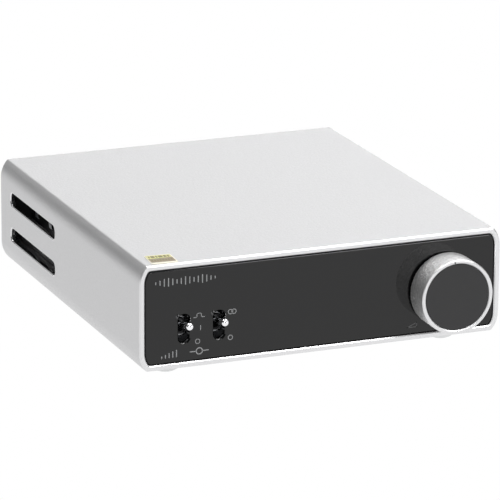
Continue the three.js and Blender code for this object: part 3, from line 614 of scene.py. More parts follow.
def board_material():
    """Black solder mask with tracks as faint ridges and rows of tinned pads."""
    n = Nodes("circuit_board")
    cells = n.add("ShaderNodeTexVoronoi", {"Scale": 1 / (TRACK_GAP * MM), "Vector": n.where},
                  feature="DISTANCE_TO_EDGE", distance="MANHATTAN")
    tracks = n.between(cells.outputs["Distance"], 1.0, 0.0, 0.05, 0.09)
    dots = n.add("ShaderNodeTexVoronoi", {
        "Scale": 1 / (PAD_GAP * MM), "Randomness": 0.55, "Vector": n.where,
    })
    pads = n.between(dots.outputs["Distance"], 1.0, 0.0, 0.14, 0.16)
    mask = n.mix(tracks, linear(14, 20, 18), linear(26, 38, 33))
    colour = n.mix(pads, mask, linear(190, 188, 180))
    height = n.maths("ADD", tracks, pads)
    return n.use(Base_Color=colour, Metallic=pads, Roughness=n.between(pads, 0.38, 0.25, 0, 1),
                 Normal=n.bump(height, 0.03))


BOARD = board_material()

CAN_X = -50  # the capacitors' place across the part, where the stripe is


def sleeve_material():
    """A capacitor's shrunk sleeve: dark blue, with one pale stripe down it."""
    n = Nodes("capacitor_sleeve")
    x = n.maths("ABSOLUTE", n.maths("ADD", n.split()["X"], -CAN_X * MM), 0.0)
    stripe = n.between(x, 1.0, 0.0, 1.9 * MM, 2.1 * MM)
    colour = n.mix(stripe, linear(24, 28, 44), linear(176, 178, 184))
    return n.use(Base_Color=colour, Roughness=n.between(n.noise(3.0), 0.26, 0.4),
                 Normal=n.bump(n.noise(1.6, 2.0), 0.02))


SLEEVE = sleeve_material()


def foil_material(y_split):
    """Embossed gold foil: a lighter field at the rear, a bronze band in front of it, and a
    faint play of colour."""
    n = Nodes("gold_foil")
    band = n.between(n.split()["Y"], 1.0, 0.0, y_split - 0.05 * MM, y_split + 0.05 * MM)
    play = n.noise(4.5, 2.0, 0.5, n.stretched((1, 1, 1), 0.6))
    field = n.ramp(play, (0.3, (196, 204, 128)), (0.55, (214, 206, 140)),
                   (0.8, (188, 206, 138)))
    bronze = n.ramp(play, (0.3, (138, 126, 100)), (0.6, (152, 134, 108)),
                    (0.85, (182, 132, 112)))
    colour = n.mix(band, field, bronze)
    return n.use(Base_Color=colour, Metallic=0.85,
                 Roughness=n.between(n.noise(0.8, 3.0), 0.28, 0.46),
                 Normal=n.bump(n.noise(1.4, 4.0), 0.02))


# -------- casing


def casing_shell():
    """The extrusion: one closed skin round the outside, both rims and the inside, with the
    vent slots through its flat sides."""
    bm = bmesh.new()
    outline = sleeve()
    c, m = EDGE_CHAMFER, MOUTH_CHAMFER
    corners = [
        (0, c), (-c, 0), (m - WALL, 0), (-WALL, m),
        (-WALL, CASE_D - m), (m - WALL, CASE_D), (-c, CASE_D), (0, CASE_D - c),
    ]
    profile = soften(corners, 0.07, closed=True, steps=3)
    rings = [ring_of(bm, [along_y(u, v, t) for u, v in outline(o)]) for o, t in profile]
    count, around = len(rings), len(rings[0])
    flats = {1: around - 1, -1: around // 2 - 1}
    walls = {1: [], -1: []}
    polished, milled = [], []
    for k in range(count):
        (o1, t1), (_, t2) = profile[k], profile[(k + 1) % count]
        near, far = rings[k], rings[(k + 1) % count]
        if abs(t1 - t2) < CASE_D / 2:
            faces = skin(bm, [near, far])
            if t1 + t2 < CASE_D:
                polished += faces
            continue
        skin(bm, [near, far], skip=flats.values())
        for side, i in flats.items():
            j = (i + 1) % around
            walls[side].append(([near[i], near[j], far[j], far[i]], abs(o1) < WALL / 2))
    for side in walls:
        slots = []
        depth = flared(side * CASE_W / 2, side * (CASE_W / 2 - WALL), SLOT_CHAMFER, 0.06)
        for up in (-1, 1):
            hole = rounded(SLOT_L, SLOT_H, SLOT_R, SLOT_Y, MID_Z + up * SLOT_RISE, 8)
            slots.append([ring_of(bm, [along_x(u, v, t) for u, v in hole(o)]) for o, t in depth])
            milled += skin(bm, slots[-1])
        for edge, outer in walls[side]:
            flat_cap(bm, [edge, *[s[0] if outer else s[-1] for s in slots]])
    for index, faces in ((1, polished), (2, milled)):
        for face in faces:
            face.material_index = index
    piece("casing_shell", bm, "casing", [CASING, EDGE, SLOT_EDGE], replaces=["casing"])


casing_shell()

RAIL_Y0, RAIL_Y1 = 12, 159.7
_, BOARD_X1, BOARD_Y0, BOARD_Y1, BOARD_Z, BOARD_TOP = node_box("main_board")
BOSS_X, BOSS_RISE, BOSS_R, BOSS_HOLE_R = 70, 15.3, 2.3, 1.35
floor_z = CASE_Z0 + WALL

for side, s in SIDES.items():
    web, outer, inner = BOARD_X1 + 0.15, BOARD_X1 + 1.15, BOARD_X1 - 3
    hook = [
        (web, BOARD_Z - 0.15), (inner, BOARD_Z - 0.15), (inner, floor_z), (outer, floor_z),
        (outer, BOARD_TOP + 1.15), (inner, BOARD_TOP + 1.15), (inner, BOARD_TOP + 0.15),
        (web, BOARD_TOP + 0.15),
    ]
    lofted_piece(f"casing_rail_{side}", polygon([(s * u, v) for u, v in hook]),
                 [(0, RAIL_Y0), (0, RAIL_Y1)], "casing", CASING, bevel=0.12)
    for level, up in (("bottom", -1), ("top", 1)):
        z = MID_Z + up * BOSS_RISE
        z0, z1 = sorted((z - up * BOSS_R, MID_Z + up * (CASE_H / 2 - WALL)))
        x0, x1 = sorted((s * (BOSS_X - BOSS_R), s * (CASE_W / 2 - WALL)))
        outline = rounded(x1 - x0, z1 - z0, 0.6, (x0 + x1) / 2, (z0 + z1) / 2, 5)
        hole = circle(BOSS_HOLE_R, s * BOSS_X, z, 32)
        lofted_piece(f"casing_boss_{level}_{side}", outline, edged(RAIL_Y0, RAIL_Y1, 0.2),
                     "casing", CASING, holes=[(hole, flared(RAIL_Y0, RAIL_Y1, 0.15))])

# -------- feet

FOOT_R, FOOT_FLAT_R, FOOT_DOME = 6.8, 1.8, CASE_Z0 - 1.2


def foot(end, side):
    node = f"foot_{end}_{side}"
    x, y, _ = centre(node)
    steps = 14
    profile = [(0, 0), (FOOT_FLAT_R, 0)]
    for i in range(1, steps + 1):
        turn = i / steps * math.pi / 2
        radius = FOOT_FLAT_R + (FOOT_R - FOOT_FLAT_R) * math.sin(turn)
        profile.append((radius, FOOT_DOME * (1 - math.cos(turn))))
    profile += [(FOOT_R, CASE_Z0 - 0.35), (FOOT_R - 0.25, CASE_Z0), (0, CASE_Z0)]
    bm = bmesh.new()
    turned_up(bm, profile, x, y, 64)
    piece(f"foot_pad_{end}_{side}", bm, "foot", FOOT, replaces=[node])


for end in ("front", "rear"):
    for side in SIDES:
        foot(end, side)

# -------- foil label

LABEL_W, LABEL_D = 10.6, 11.3
FIELD_FRONT, FIELD_SPLIT, FIELD_REAR = -3.7, 1.35, 5.15  # from the label's middle
PRINT_W = LABEL_W - 2.4
LABEL_TURN = math.radians(-3.5)


def foil_label():
    x, y, _ = centre("foil_label")
    z0, z1 = node_box("foil_label")[4:]
    c, s = math.cos(LABEL_TURN), math.sin(LABEL_TURN)
    foil = foil_material(FRONT_Y + (y + FIELD_SPLIT) * MM)
    pale = finish_of("foil_rim", (226, 222, 204), (234, 230, 214), 0.36, metallic=0.7)
    lofted_piece("foil_base", rounded(LABEL_W, LABEL_D, 0.9, x, y, 6, LABEL_TURN),
                 edged(z0, z1, 0.02, 0.01), "foil", pale, along_z, replaces=["foil_label"])
    field = rounded(LABEL_W - 0.9, FIELD_REAR - FIELD_FRONT, 0.3, x - s * 0.7,
                    y + (FIELD_FRONT + FIELD_REAR) / 2, 5, LABEL_TURN)
    lofted_piece("foil_field", field, [(0, z1 - 0.005), (0, z1 + 0.012)], "foil", foil, along_z)
    bm = bmesh.new()
    dark = finish_of("foil_print", (104, 100, 54), (124, 118, 66), 0.4, metallic=0.6)
    for v, height, widths in (
        (3.3, 2.3, (0.5, 1.5, 0.7, 1.6, 1.1, 0.7)),
        (-1.1, 1.9, (0.5,) * 8),
    ):
        gap = (PRINT_W - sum(widths)) / (len(widths) - 1)
        u = -PRINT_W / 2
        for width in widths:
            mid = u + width / 2
            bar = rounded(width, height, 0.25, x + mid * c - v * s, y + mid * s + v * c, 3,
                          LABEL_TURN)
            loft(bm, bar, [(0, z1 + 0.008), (0, z1 + 0.03)], along_z)
            u += width + gap
    piece("foil_bars", bm, "foil", dark)


foil_label()

# -------- front panel and its marks

PANEL_Y0, PANEL_Y1 = node_box("front_panel")[2:4]
PANEL_GAP, REAR_GAP = 0.3, 0.35  # between each plate and the casing's inside
TOGGLE_Z = 21.4
TOGGLE_HOLE = (4.6, 11.4, 2.29)  # width, height and corner radius
SHAFT_HOLE_R = 3.7
TOGGLES = {"power": -56.85, "input": -42.5}
KNOB_X, _, KNOB_Z = centre("volume_knob")
KNOB_FRONT, KNOB_REAR = node_box("volume_knob")[2:4]


def front_panel():
    holes = [(rounded(*TOGGLE_HOLE, x, TOGGLE_Z, 16), flared(PANEL_Y0, PANEL_Y1, 0.4))
             for x in TOGGLES.values()]
    holes.append((circle(SHAFT_HOLE_R, KNOB_X, KNOB_Z), flared(PANEL_Y0, PANEL_Y1, 0.1)))
    lofted_piece("panel_plate", sleeve(WALL + PANEL_GAP), edged(PANEL_Y0, PANEL_Y1, 0.4, 0.1),
                 "panel", PANEL, holes=holes, replaces=["front_panel"])


front_panel()

INK_T = 0.03
FRONT_INK = [(0, PANEL_Y0 - INK_T), (0, PANEL_Y0 + INK_T * 0.3)]


def line(bm, ends, width, *points):
    """A printed line with round ends through the (x, z) points. ends is its profile: how far
    it stands off the panel, and how deep it is set in it."""
    for (x0, z0), (x1, z1) in zip(points, points[1:]):
        length, turn = math.hypot(x1 - x0, z1 - z0), math.atan2(z1 - z0, x1 - x0)
        loft(bm, rounded(length + width, width, width / 2 - 0.001, (x0 + x1) / 2,
                         (z0 + z1) / 2, 6, turn), ends)


def hoop(bm, ends, width, x, z, radius):
    """A printed ring."""
    loft(bm, circle(radius + width / 2, x, z, 40), ends,
         holes=[(circle(radius - width / 2, x, z, 40), ends)])


def panel_marks():
    """Plain bars, lines and rings where the photo has words."""
    bm = bmesh.new()
    bold, fine, faint = 0.42, 0.3, 0.34
    heights = (0.7, 1.6, 2.6, 3.0, 2.2, 1.3, 2.0, 2.9, 2.4, 1.5, 2.2, 3.0, 2.4, 1.4, 0.7)
    for i, height in enumerate(heights):
        x = -68.4 + i * 1.72
        line(bm, FRONT_INK, bold, (x, 40.65 - height / 2), (x, 40.65 + height / 2))
    for i in range(5):
        x = -66.0 + i * 1.5
        line(bm, FRONT_INK, bold, (x, 10.75), (x, 11.35 + i * 0.5))
    line(bm, FRONT_INK, bold, (-54.4, 12.0), (-52.2, 12.0))
    hoop(bm, FRONT_INK, bold, -50.7, 12.0, 1.25)
    line(bm, FRONT_INK, bold, (-49.2, 12.0), (-47.0, 12.0))
    line(bm, FRONT_INK, fine, (-53.0, 25.5), (-51.7, 25.5), (-51.7, 27.0), (-49.9, 27.0),
         (-49.9, 25.5), (-48.6, 25.5))
    line(bm, FRONT_INK, fine, (-50.2, 20.3), (-50.2, 22.1))
    for x, z in ((-51.4, 15.9), (-38.0, 26.2), (-36.6, 26.2), (-38.0, 15.9)):
        hoop(bm, FRONT_INK, fine, x, z, 0.9)
    piece("panel_marks", bm, "white", INK)
    bm = bmesh.new()
    line(bm, FRONT_INK, faint, (35.9, 11.2), (39.9, 11.2), (39.9, 12.9), (35.9, 11.2))
    piece("volume_mark", bm, "white", FAINT_INK)


panel_marks()

# -------- toggle switches

BAT_PIVOT_Y = 6.9
BAT_TILT = math.radians(12.4)
BAT_LENGTH, BAT_TIP_R = 13.9, 1.6
SWITCH_Y0 = 8.8
SWITCH_NUT, JACK_NUT = (8, 3.2), (13, 5.0)  # across flats, and the hole's radius


def threaded(inner, outer, y0, y1, pitch=0.5, depth=0.12):
    """The profile of a threaded sleeve as a closed ring, with its thread as fine ridges."""
    profile = [(inner, y0), (outer - depth, y0)]
    turns = int((y1 - y0) / pitch)
    for i in range(turns):
        y = y0 + (i + 0.5) * pitch
        profile += [(outer, y), (outer - depth, y + pitch / 2)]
    return profile + [(outer - depth, y1), (inner, y1)]


def nut(name, node, across, hole, x, z):
    y0, y1 = node_box(node)[2:4]
    corner, flat = across / math.sqrt(3), across / 2
    profile = [(hole + 0.2, y0), (flat * 0.97, y0), (corner, y0 + 0.38), (corner, y1 - 0.38),
               (flat * 0.97, y1), (hole + 0.2, y1), (hole, y1 - 0.25), (hole, y0 + 0.25)]
    turned_piece(name, profile, x, z, "steel", STEEL, 96, shape=hexagonal(across),
                 replaces=[node])


def toggle_switch(which, x):
    y0, y1 = node_box(f"{which}_switch_body")[2:4]
    block_piece(f"{which}_switch_case",
                (x - 3.5, x + 3.5, SWITCH_Y0 + 1.2, y1, TOGGLE_Z - 6.9, TOGGLE_Z + 6.4), 0.5, 0.3,
                "plastic", PLASTIC, replaces=[f"{which}_switch_body"])
    block_piece(f"{which}_switch_frame",
                (x - 3.6, x + 3.6, SWITCH_Y0, SWITCH_Y0 + 1.1, TOGGLE_Z - 6.4, TOGGLE_Z + 6.2),
                0.4, 0.1, "steel", STEEL)
    bushing = threaded(2.3, 3.0, y0, SWITCH_Y0)
    bushing[0] = (2.55, y0)
    bushing[-1:] = [(2.3, SWITCH_Y0), (2.3, y0 + 0.3)]
    turned_piece(f"{which}_switch_bushing", bushing, x, TOGGLE_Z, "steel", BUSHING, 48)
    nut(f"{which}_switch_hex", f"{which}_switch_nut", *SWITCH_NUT, x, TOGGLE_Z)
    profile = []
    steps = 10
    for i in range(steps + 1):
        turn = i / steps * math.pi / 2
        profile.append((BAT_TIP_R * math.sin(turn),
                        -BAT_LENGTH + BAT_TIP_R * (1 - math.cos(turn))))
    shank = [(1.05, -1.8), (1.5, -0.9), (1.72, 0), (1.4, 1.1), (0.9, 1.6), (0.9, 3)]
    profile += soften([profile[-1], *shank, (0, 3)], 0.25)[1:]
    bm = bmesh.new()
    turned(bm, profile, 0, 0, 48)
    carry(bm, x, BAT_PIVOT_Y, TOGGLE_Z, -BAT_TILT, "X")
    piece(f"{which}_lever", bm, "chrome", CHROME, body=f"{which}_bat",
          replaces=[f"{which}_switch_bat"])


for which, x in TOGGLES.items():
    toggle_switch(which, x)

# -------- volume knob

KNOB_R, KNOB_FACE_R, KNOB_EDGE = 14.95, 13.4, 0.35
MARK_TURN = math.radians(5.7)  # how far the mark leans to the left of the top
KNOB_SIDES = 180
KNOB_RECESS, SCREW_HOLE_R, SHAFT_R = 1.3, 1.55, 3


def volume_knob():
    bm = bmesh.new()
    recess = KNOB_FRONT + KNOB_RECESS
    corners = [
        (0, recess), (KNOB_FACE_R, recess), (KNOB_FACE_R, KNOB_FRONT + KNOB_EDGE),
        (KNOB_FACE_R + KNOB_EDGE, KNOB_FRONT), (KNOB_R - KNOB_EDGE, KNOB_FRONT),
        (KNOB_R, KNOB_FRONT + KNOB_EDGE), (KNOB_R, KNOB_REAR - KNOB_EDGE),
        (KNOB_R - KNOB_EDGE, KNOB_REAR), (12, KNOB_REAR), (12, KNOB_FRONT + 5),
        (6, KNOB_FRONT + 5), (6, KNOB_REAR - 0.5), (3.3, KNOB_REAR - 0.5),
        (3.3, KNOB_FRONT + 2.4), (0, KNOB_FRONT + 2.4),
    ]
    turned(bm, soften(corners, 0.06), KNOB_X, KNOB_Z, KNOB_SIDES)
    for face in bm.faces:
        at = face.calc_center_median()
        y = (at.y - FRONT_Y) / MM
        radius = math.hypot(at.x / MM - KNOB_X, at.z / MM - KNOB_Z)
        if y < KNOB_FRONT + KNOB_EDGE * 0.5 + 0.3 and radius > KNOB_FACE_R - 0.05:
            face.material_index = 1
    knob = piece("knob_body", bm, "knob", [KNOB, EDGE], body="knob", replaces=["volume_knob"])
    groove = bmesh.new()
    block(groove, -0.3, 0.3, KNOB_FRONT - 1, KNOB_FRONT + 0.35, KNOB_FACE_R - 0.4, KNOB_R - 0.55,
          0.1, 0.05)
    carry(groove, KNOB_X, 0, KNOB_Z, -MARK_TURN, "Y")
    hole = bmesh.new()
    hole_y = centre("knob_set_screw")[1]
    loft(hole, circle(SCREW_HOLE_R, KNOB_X, hole_y, 24),
         [(0, KNOB_Z - SHAFT_R - 0.2), (0, KNOB_Z - KNOB_R - 1)], along_z)
    cut(knob, [cutter(groove), cutter(hole)])
    bm = bmesh.new()
    block(bm, -0.27, 0.27, KNOB_FRONT + 0.1, KNOB_FRONT + 0.33, KNOB_FACE_R + 0.15, KNOB_R - 0.6,
          0.08, 0.04)
    carry(bm, KNOB_X, 0, KNOB_Z, -MARK_TURN, "Y")
    piece("knob_mark", bm, "knob", MARK_PAINT, body="knob")


volume_knob()


def knob_disc():
    y0, y1 = node_box("knob_face")[2:4]
    radius = KNOB_FACE_R - 0.15
    profile = [(0, y0), (radius - 0.12, y0), (radius, y0 + 0.12), (radius, y1), (0, y1)]
    turned_piece("knob_disc", profile, KNOB_X, KNOB_Z, "knob_face", KNOB_FACE, KNOB_SIDES,
                 closed=False, soft=0.05, body="knob", replaces=["knob_face"])


knob_disc()

# -------- rear panel

REAR_Y0, REAR_FACE = node_box("rear_panel")[2:4]
SOCKET_Y1 = REAR_Y0 - 0.2  # where the socket bodies end, just inside the rear panel
JACKS = {side: centre(f"balanced_jack_nut_{side}") for side in SIDES}
RCAS = {side: centre(f"rca_shell_{side}") for side in SIDES}
POST_AT = {p: centre(f"post_cap_{p}") for p in POSTS}
DC_X, DC_Z = centre("dc_inlet")[0], 21.0
TRIGGER_X, TRIGGER_Z = centre("trigger_jack")[0], 18.8


def rear_panel():
    """The rear plate, with a hole of (x, z, radius) for each socket, terminal and screw."""
    spots = [(DC_X, DC_Z, 5.7), (TRIGGER_X, TRIGGER_Z, 3.3)]
    spots += [(x, z, 5.05) for x, _, z in JACKS.values()]
    spots += [(x, z, 5.3) for x, _, z in RCAS.values()]
    spots += [(x, z, 4.2) for x, _, z in POST_AT.values()]
    for s in (-1, 1):
        spots += [(s * BOSS_X, MID_Z + up * BOSS_RISE, 1.45) for up in (-1, 1)]
    holes = [(circle(r, x, z, 40), flared(REAR_Y0, REAR_FACE, 0.12)) for x, z, r in spots]
    lofted_piece("rear_plate", sleeve(WALL + REAR_GAP), edged(REAR_Y0, REAR_FACE, 0.25, 0.08),
                 "rear_panel", REAR, holes=holes, replaces=["rear_panel"])


rear_panel()


def rear_marks():
    """A ring, line or sign at each socket, in place of words."""
    bm = bmesh.new()
    ink = [(0, REAR_FACE + INK_T), (0, REAR_FACE - INK_T * 0.3)]
    bold, medium, fine = 0.4, 0.35, 0.3
    for x, _, z in JACKS.values():
        hoop(bm, ink, fine, x, z, 8.4)
    for x, _, z in RCAS.values():
        line(bm, ink, medium, (x + 7.0, z - 1.2), (x + 7.0, z + 1.2))
    for name, (x, _, z) in POST_AT.items():
        line(bm, ink, bold, (x - 1.1, z - 9.2), (x + 1.1, z - 9.2))
        if name.endswith("plus"):
            line(bm, ink, bold, (x, z - 10.3), (x, z - 8.1))
    for side in SIDES:
        (xa, _, z), (xb, _, _) = POST_AT[f"{side}_minus"], POST_AT[f"{side}_plus"]
        line(bm, ink, fine, (xa - 4, z + 8.4), (xb + 4, z + 8.4))
    hoop(bm, ink, fine, DC_X + 11, DC_Z, 0.8)
    line(bm, ink, fine, (DC_X + 8.2, DC_Z), (DC_X + 10.2, DC_Z))
    line(bm, ink, fine, (DC_X + 11.9, DC_Z), (DC_X + 13.8, DC_Z))
    pulse = ((-3, -6.4), (-1, -6.4), (-1, -4.8), (1, -4.8), (1, -6.4), (3, -6.4))
    line(bm, ink, fine, *[(TRIGGER_X + x, TRIGGER_Z + z) for x, z in pulse])
    piece("rear_marks", bm, "white", REAR_INK)


rear_marks()


def rear_screw(level, side):
    node = f"rear_screw_{level}_{side}"
    x, _, z = centre(node)
    y = REAR_FACE
    bm = bmesh.new()
    profile = [(0, y - 8), (0.75, y - 8), (1.05, y - 7.4)]
    for i in range(14):
        profile += [(1.05, y - 7.2 + i * 0.5), (0.85, y - 6.95 + i * 0.5)]
    profile += [(1.05, y + 0.05), (2.25, y + 0.05), (2.25, y + 0.7), (2.0, y + 1.15),
                (1.55, y + 1.42), (0.9, y + 1.52), (0, y + 1.55)]
    turned(bm, profile, x, z, 40)
    made = piece(f"rear_screw_head_{level}_{side}", bm, "screw", SCREW, replaces=[node])
    arms = []
    for width, height in ((0.48, 2.7), (2.7, 0.48)):
        arm = bmesh.new()
        loft(arm, rounded(width, height, 0.1, x, z, 3), [(-0.12, y + 0.55), (0.1, y + 3)])
        arms.append(cutter(arm))
    cut(made, arms)


for level in ("bottom", "top"):
    for side in SIDES:
        rear_screw(level, side)

# -------- rear sockets

JACK_BORE_R, JACK_HALF_W = 3.25, 7.75


def balanced_jack(side):
    node = f"balanced_jack_{side}"
    x0, x1, y0, y1, z0, z1 = node_box(node)
    x, _, z = JACKS[side]
    outline = rounded(2 * JACK_HALF_W, z1 - z0, 0.8, x, (z0 + z1) / 2, 5)
    bore = circle(JACK_BORE_R, x, z, 48)
    lofted_piece(f"jack_body_{side}", outline, edged(y0, SOCKET_Y1, 0.4, 0.1), "plastic", PLASTIC,
                 holes=[(bore, flared(y0, SOCKET_Y1, 0.1))], replaces=[node])
    bushing = threaded(JACK_BORE_R, 4.75, SOCKET_Y1 + 0.02, y1 - 0.35, 0.6, 0.15)
    bushing[-2:] = [(4.5, y1 - 0.3), (4.2, y1), (3.6, y1), (JACK_BORE_R, y1 - 0.35)]
    turned_piece(f"jack_bushing_{side}", bushing, x, z, "steel", STEEL)
    nut(f"jack_hex_{side}", f"balanced_jack_nut_{side}", *JACK_NUT, x, z)
    face_x, out = (x0, -1) if side == "right" else (x1, 1)
    bend = [(0, 0), (0.7, 0.3), (0.9, 3.7), (0.65, 3.7), (0.5, 0.6), (0, 0.3)]
    lug = polygon([(face_x + out * u, z + 1.4 + v) for u, v in bend])
    for k, y in enumerate((y0 + 1.2, y0 + 17.9)):
        lofted_piece(f"jack_lug_{side}_{k + 1}", lug, [(0, y), (0, y + 3.0)], "chrome", TINNED,
                     bevel=0.05)


for side in SIDES:
    balanced_jack(side)


def rca_sockets():
    x0, x1, y0, _, z0, z1 = node_box("rca_housing")
    root, tip = node_box("rca_shell_left")[2:4]
    outline = rounded(x1 - x0, z1 - z0, 0.8, RCAS["left"][0], (z0 + z1) / 2, 5)
    wells = [(circle(4.3, x, z, 48), [(0, y0), (0, SOCKET_Y1)]) for x, _, z in RCAS.values()]
    lofted_piece("rca_block", outline, edged(y0, SOCKET_Y1, 0.4, 0.1), "plastic", PLASTIC,
                 holes=wells, replaces=["rca_housing"])
    for side, (x, _, z) in RCAS.items():
        slot, plastic = ("white", WHITE) if side == "left" else ("red", RED)
        core = [(1.7, SOCKET_Y1 - 4), (3.1, SOCKET_Y1 - 4), (3.1, tip - 0.6), (2.9, tip - 0.4),
                (2.0, tip - 0.4), (1.7, tip - 0.7)]
        turned_piece(f"rca_core_{side}", core, x, z, slot, plastic, 48)
        spring = [(1.0, SOCKET_Y1 - 3.5), (1.65, SOCKET_Y1 - 3.5), (1.65, tip - 1.4),
                  (1.3, tip - 1.1), (1.0, tip - 1.4)]
        turned_piece(f"rca_contact_{side}", spring, x, z, "brass", BRASS, 32)
        shell = [(3.25, root), (4.15, root), (4.15, tip - 5.2), (4.0, tip - 5.0),
                 (4.0, tip - 4.6), (4.15, tip - 4.4), (4.15, tip - 0.4), (3.9, tip), (3.5, tip),
                 (3.25, tip - 0.3)]
        turned_piece(f"rca_sleeve_{side}", shell, x, z, "brass", BRASS, soft=0.06,
                     replaces=[f"rca_shell_{side}"])
        collar = [(4.3, SOCKET_Y1 + 0.05), (5.0, SOCKET_Y1 + 0.05), (5.0, REAR_FACE + 0.05),
                  (6.1, REAR_FACE + 0.05), (6.1, REAR_FACE + 1.1), (5.6, REAR_FACE + 1.6),
                  (4.3, REAR_FACE + 1.6)]
        turned_piece(f"rca_washer_{side}", collar, x, z, slot, plastic, soft=0.12,
                     replaces=[f"rca_collar_{side}"])


rca_sockets()


def barrel_socket(name, node, x, z, neck_r, well_r, pin_r=0.0):
    x0, x1, y0, y1, z0, z1 = node_box(node)
    outline = rounded(x1 - x0, z1 - z0, 0.6, x, (z0 + z1) / 2, 4)
    lofted_piece(f"{name}_block", outline, edged(y0, SOCKET_Y1, 0.3, 0.08), "plastic", PLASTIC,
                 replaces=[node])
    neck = [(well_r, SOCKET_Y1 + 0.02), (neck_r, SOCKET_Y1 + 0.02), (neck_r, y1 - 0.3),
            (neck_r - 0.3, y1), (well_r + 0.35, y1), (well_r, y1 - 0.35)]
    turned_piece(f"{name}_neck", neck, x, z, "plastic", BLACK, soft=0.08)
    if pin_r:
        pin = [(0, SOCKET_Y1 + 0.02), (pin_r, SOCKET_Y1 + 0.02), (pin_r, y1 - 1.2),
               (pin_r * 0.6, y1 - 0.7), (0, y1 - 0.6)]
        turned_piece(f"{name}_pin", pin, x, z, "chrome", CHROME, 32, closed=False)


barrel_socket("dc_socket", "dc_inlet", DC_X, DC_Z, 5.4, 3.1, 1.25)
barrel_socket("trigger_socket", "trigger_jack", TRIGGER_X, TRIGGER_Z, 3.0, 1.85)

# -------- speaker terminals

THREAD_PITCH = 0.7
CAP_R, FLUTE_DEPTH, FLUTES = 5.9, 0.55, 12


def terminal(post):
    x, _, z = POST_AT[post]
    slot, plastic = ("red", RED) if post.endswith("plus") else ("black", BLACK)
    y0, y1 = node_box(f"post_base_{post}")[2:4]
    base = [(3.3, y0), (3.9, y0), (3.9, REAR_FACE + 0.05), (6.2, REAR_FACE + 0.05),
            (6.2, y1 - 0.5), (5.7, y1), (3.3, y1)]
    turned_piece(f"terminal_base_{post}", base, x, z, "black", BLACK, soft=0.15,
                 replaces=[f"post_base_{post}"])
    y0, y1 = node_box(f"post_cap_{post}")[2:4]
    cap = [(4.7, y0), (5.5, y0), (CAP_R, y0 + 0.4), (CAP_R, y1 - 0.8), (5.2, y1), (3.1, y1),
           (2.45, y1 - 0.6), (2.45, y0 + 10.5), (4.7, y0 + 10.5)]
    turned_piece(f"terminal_cap_{post}", cap, x, z, slot, plastic, 144, soft=0.15,
                 shape=fluted(CAP_R, FLUTE_DEPTH, FLUTES), body=f"cap_{post}",
                 replaces=[f"post_cap_{post}"])
    band = [(5.3, y1 - 3.2), (5.95, y1 - 3.2), (5.95, y1 - 2.5), (5.3, y1 - 2.5)]
    turned_piece(f"terminal_band_{post}", band, x, z, "brass", BRASS, 96, soft=0.08,
                 body=f"cap_{post}")
    y0, y1 = node_box(f"post_insert_{post}")[2:4]
    turned_piece(f"terminal_insert_{post}", threaded(3.3, 4.4, y0, y1, THREAD_PITCH, 0.1), x, z,
                 "brass", BRASS, 48, body=f"insert_{post}", replaces=[f"post_insert_{post}"])
    y0, y1 = node_box(f"post_stem_{post}")[2:4]
    shoulder = REAR_Y0 - 3
    stem = [(0, y0), (1.8, y0), (2.0, y0 + 0.2), (2.0, shoulder - 3), (4.6, shoulder - 3),
            (4.6, shoulder), (3.0, shoulder)]
    y = shoulder + 0.4
    while y < y1 - 0.9:
        stem += [(3.1, y), (2.98, y + THREAD_PITCH / 2)]
        y += THREAD_PITCH
    stem += [(3.05, y1 - 0.3), (2.7, y1), (2.05, y1), (2.05, REAR_Y0), (0, REAR_Y0)]
    turned_piece(f"terminal_stem_{post}", stem, x, z, "brass", BRASS, 48, closed=False,
                 replaces=[f"post_stem_{post}"])


for post in POSTS:
    terminal(post)

# -------- inside the casing


def capacitor(side):
    node = f"reservoir_capacitor_{side}"
    x, y, _ = centre(node)
    z0, z1 = node_box(node)[4:]
    height = z1 - z0
    profile = [(0, 0), (7.6, 0), (8, 0.4), (8, 1.6), (7.5, 2.1), (8, 2.6), (8, height - 0.9),
               (7.7, height - 0.3), (7.0, height - 0.3), (6.9, height - 0.5), (0, height - 0.5)]
    bm = bmesh.new()
    turned_up(bm, [(radius, z0 + z) for radius, z in soften(profile, 0.15)], x, y, 56)
    piece(f"capacitor_can_{side}", bm, "sleeve", SLEEVE, replaces=[node])
    top = lofted_piece(f"capacitor_top_{side}", circle(6.7, x, y, 56),
                       [(-0.15, z1 - 0.5), (0, z1 - 0.4), (-0.2, z1 - 0.2)], "steel", STEEL,
                       along_z)
    vents = []
    for turn in (0.0, math.pi / 2):
        vent = bmesh.new()
        loft(vent, rounded(8.5, 0.5, 0.2, x, y, 3, turn + 0.5),
             [(0, z1 - 0.32), (0, z1 + 0.5)], along_z)
        vents.append(cutter(vent))
    cut(top, vents)


for side in SIDES:
    capacitor(side)
    node = f"output_choke_{side}"
    block_piece(f"choke_{side}", node_box(node), 1.8, 0.7, "black", CHOKE, along_z,
                replaces=[node])

# The board's raw edge shows as a pale line through the lower slots.
for side, s in SIDES.items():
    x0, x1 = sorted((s * (BOARD_X1 - 0.02), s * (BOARD_X1 + 0.05)))
    box = (x0, x1, BOARD_Y0, BOARD_Y1, BOARD_Z + 0.05, BOARD_TOP - 0.05)
    block_piece(f"board_raw_edge_{side}", box, 0.01, 0.0, "board", FIBRE)

# -------- CAD nodes that stay

STAY = {
    "front_carrier": BRACKET,
    "volume_pot": PLASTIC,
    "volume_pot_nut": STEEL,
    "volume_shaft": STEEL,
    "knob_set_screw": SCREW,
    "main_board": BOARD,
    "output_board": BOARD,
    "amplifier_chip": BLACK,
    "heat_sink": SINK,
}
for name, material in STAY.items():
    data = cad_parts[name].data
    data.materials.clear()
    data.materials.append(material)

# -------- floor, light and surroundings

FLOOR_HALF, FLOOR_Z = 4.0, -0.0002
ROOM_LEVEL = 0.1


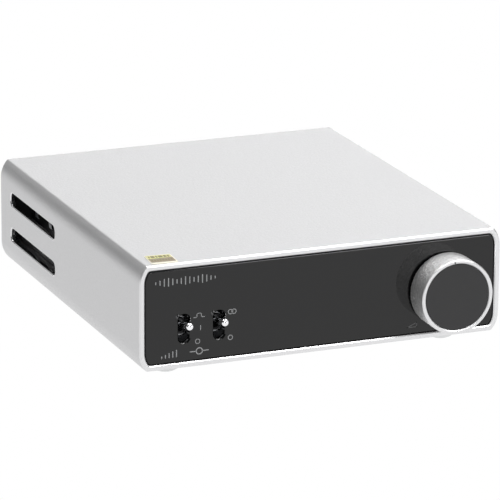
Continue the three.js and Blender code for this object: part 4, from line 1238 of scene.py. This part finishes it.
def floor():
    """A plain floor that glows white, so that it has no shadows or edge, like the photo's."""
    bm = bmesh.new()
    corners = [(-1, -1), (1, -1), (1, 1), (-1, 1)]
    bm.faces.new([bm.verts.new((x * FLOOR_HALF, y * FLOOR_HALF, FLOOR_Z)) for x, y in corners])
    obj = put_mesh("floor", bm)
    material = bpy.data.materials.new("white_sweep")
    material.use_nodes = True
    tree = material.node_tree
    tree.nodes.clear()
    glow = tree.nodes.new("ShaderNodeEmission")
    glow.inputs["Color"].default_value = (1, 1, 1, 1)
    glow.inputs["Strength"].default_value = 1.0
    surface = tree.nodes.new("ShaderNodeOutputMaterial")
    tree.links.new(glow.outputs["Emission"], surface.inputs["Surface"])
    obj.data.materials.append(material)


floor()

world = bpy.data.worlds.new("studio")
bpy.context.scene.world = world
world.use_nodes = True
background = world.node_tree.nodes["Background"]
background.inputs["Color"].default_value = (ROOM_LEVEL, ROOM_LEVEL, ROOM_LEVEL, 1)

BOX_DISTANCE, BOX_WIDTH, BOX_HEIGHT = 2.5, 1.1, 0.9

# Azimuth in degrees from the rear (+Y) towards the right (+X), elevation, and radiance.
SOFTBOXES = (
    (0, 8, 1.3), (22, 8, 2.3), (110, 8, 2.0), (150, 8, 2.0), (210, 8, 1.6),
    (-30, 25, 0.4), (150, 25, 0.5), (210, 25, 2.8),
    (22, 45, 1.1), (45, 45, 2.4), (110, 45, 3.6), (180, 45, 4.5),
    (-60, 68, 10.5), (110, 68, 11.8),
)


def softbox(azimuth, elevation, radiance):
    """A soft light that faces the middle of the set."""
    light = bpy.data.lights.new(f"softbox_{azimuth}_{elevation}", "AREA")
    light.shape = "RECTANGLE"
    light.size, light.size_y = BOX_WIDTH, BOX_HEIGHT
    light.energy = radiance * math.pi * BOX_WIDTH * BOX_HEIGHT
    obj = put(light.name, light)
    turn, rise = math.radians(azimuth), math.radians(elevation)
    away = Vector((math.sin(turn) * math.cos(rise), math.cos(turn) * math.cos(rise),
                   math.sin(rise)))
    obj.location = away * BOX_DISTANCE
    obj.rotation_mode = "QUATERNION"
    obj.rotation_quaternion = (-away).to_track_quat("-Z", "Y")
    obj.visible_camera = False


for box in SOFTBOXES:
    softbox(*box)

view = bpy.context.scene.view_settings
view.view_transform = "Standard"
view.look = "None"

# -------- the end

bpy.context.view_layer.update()
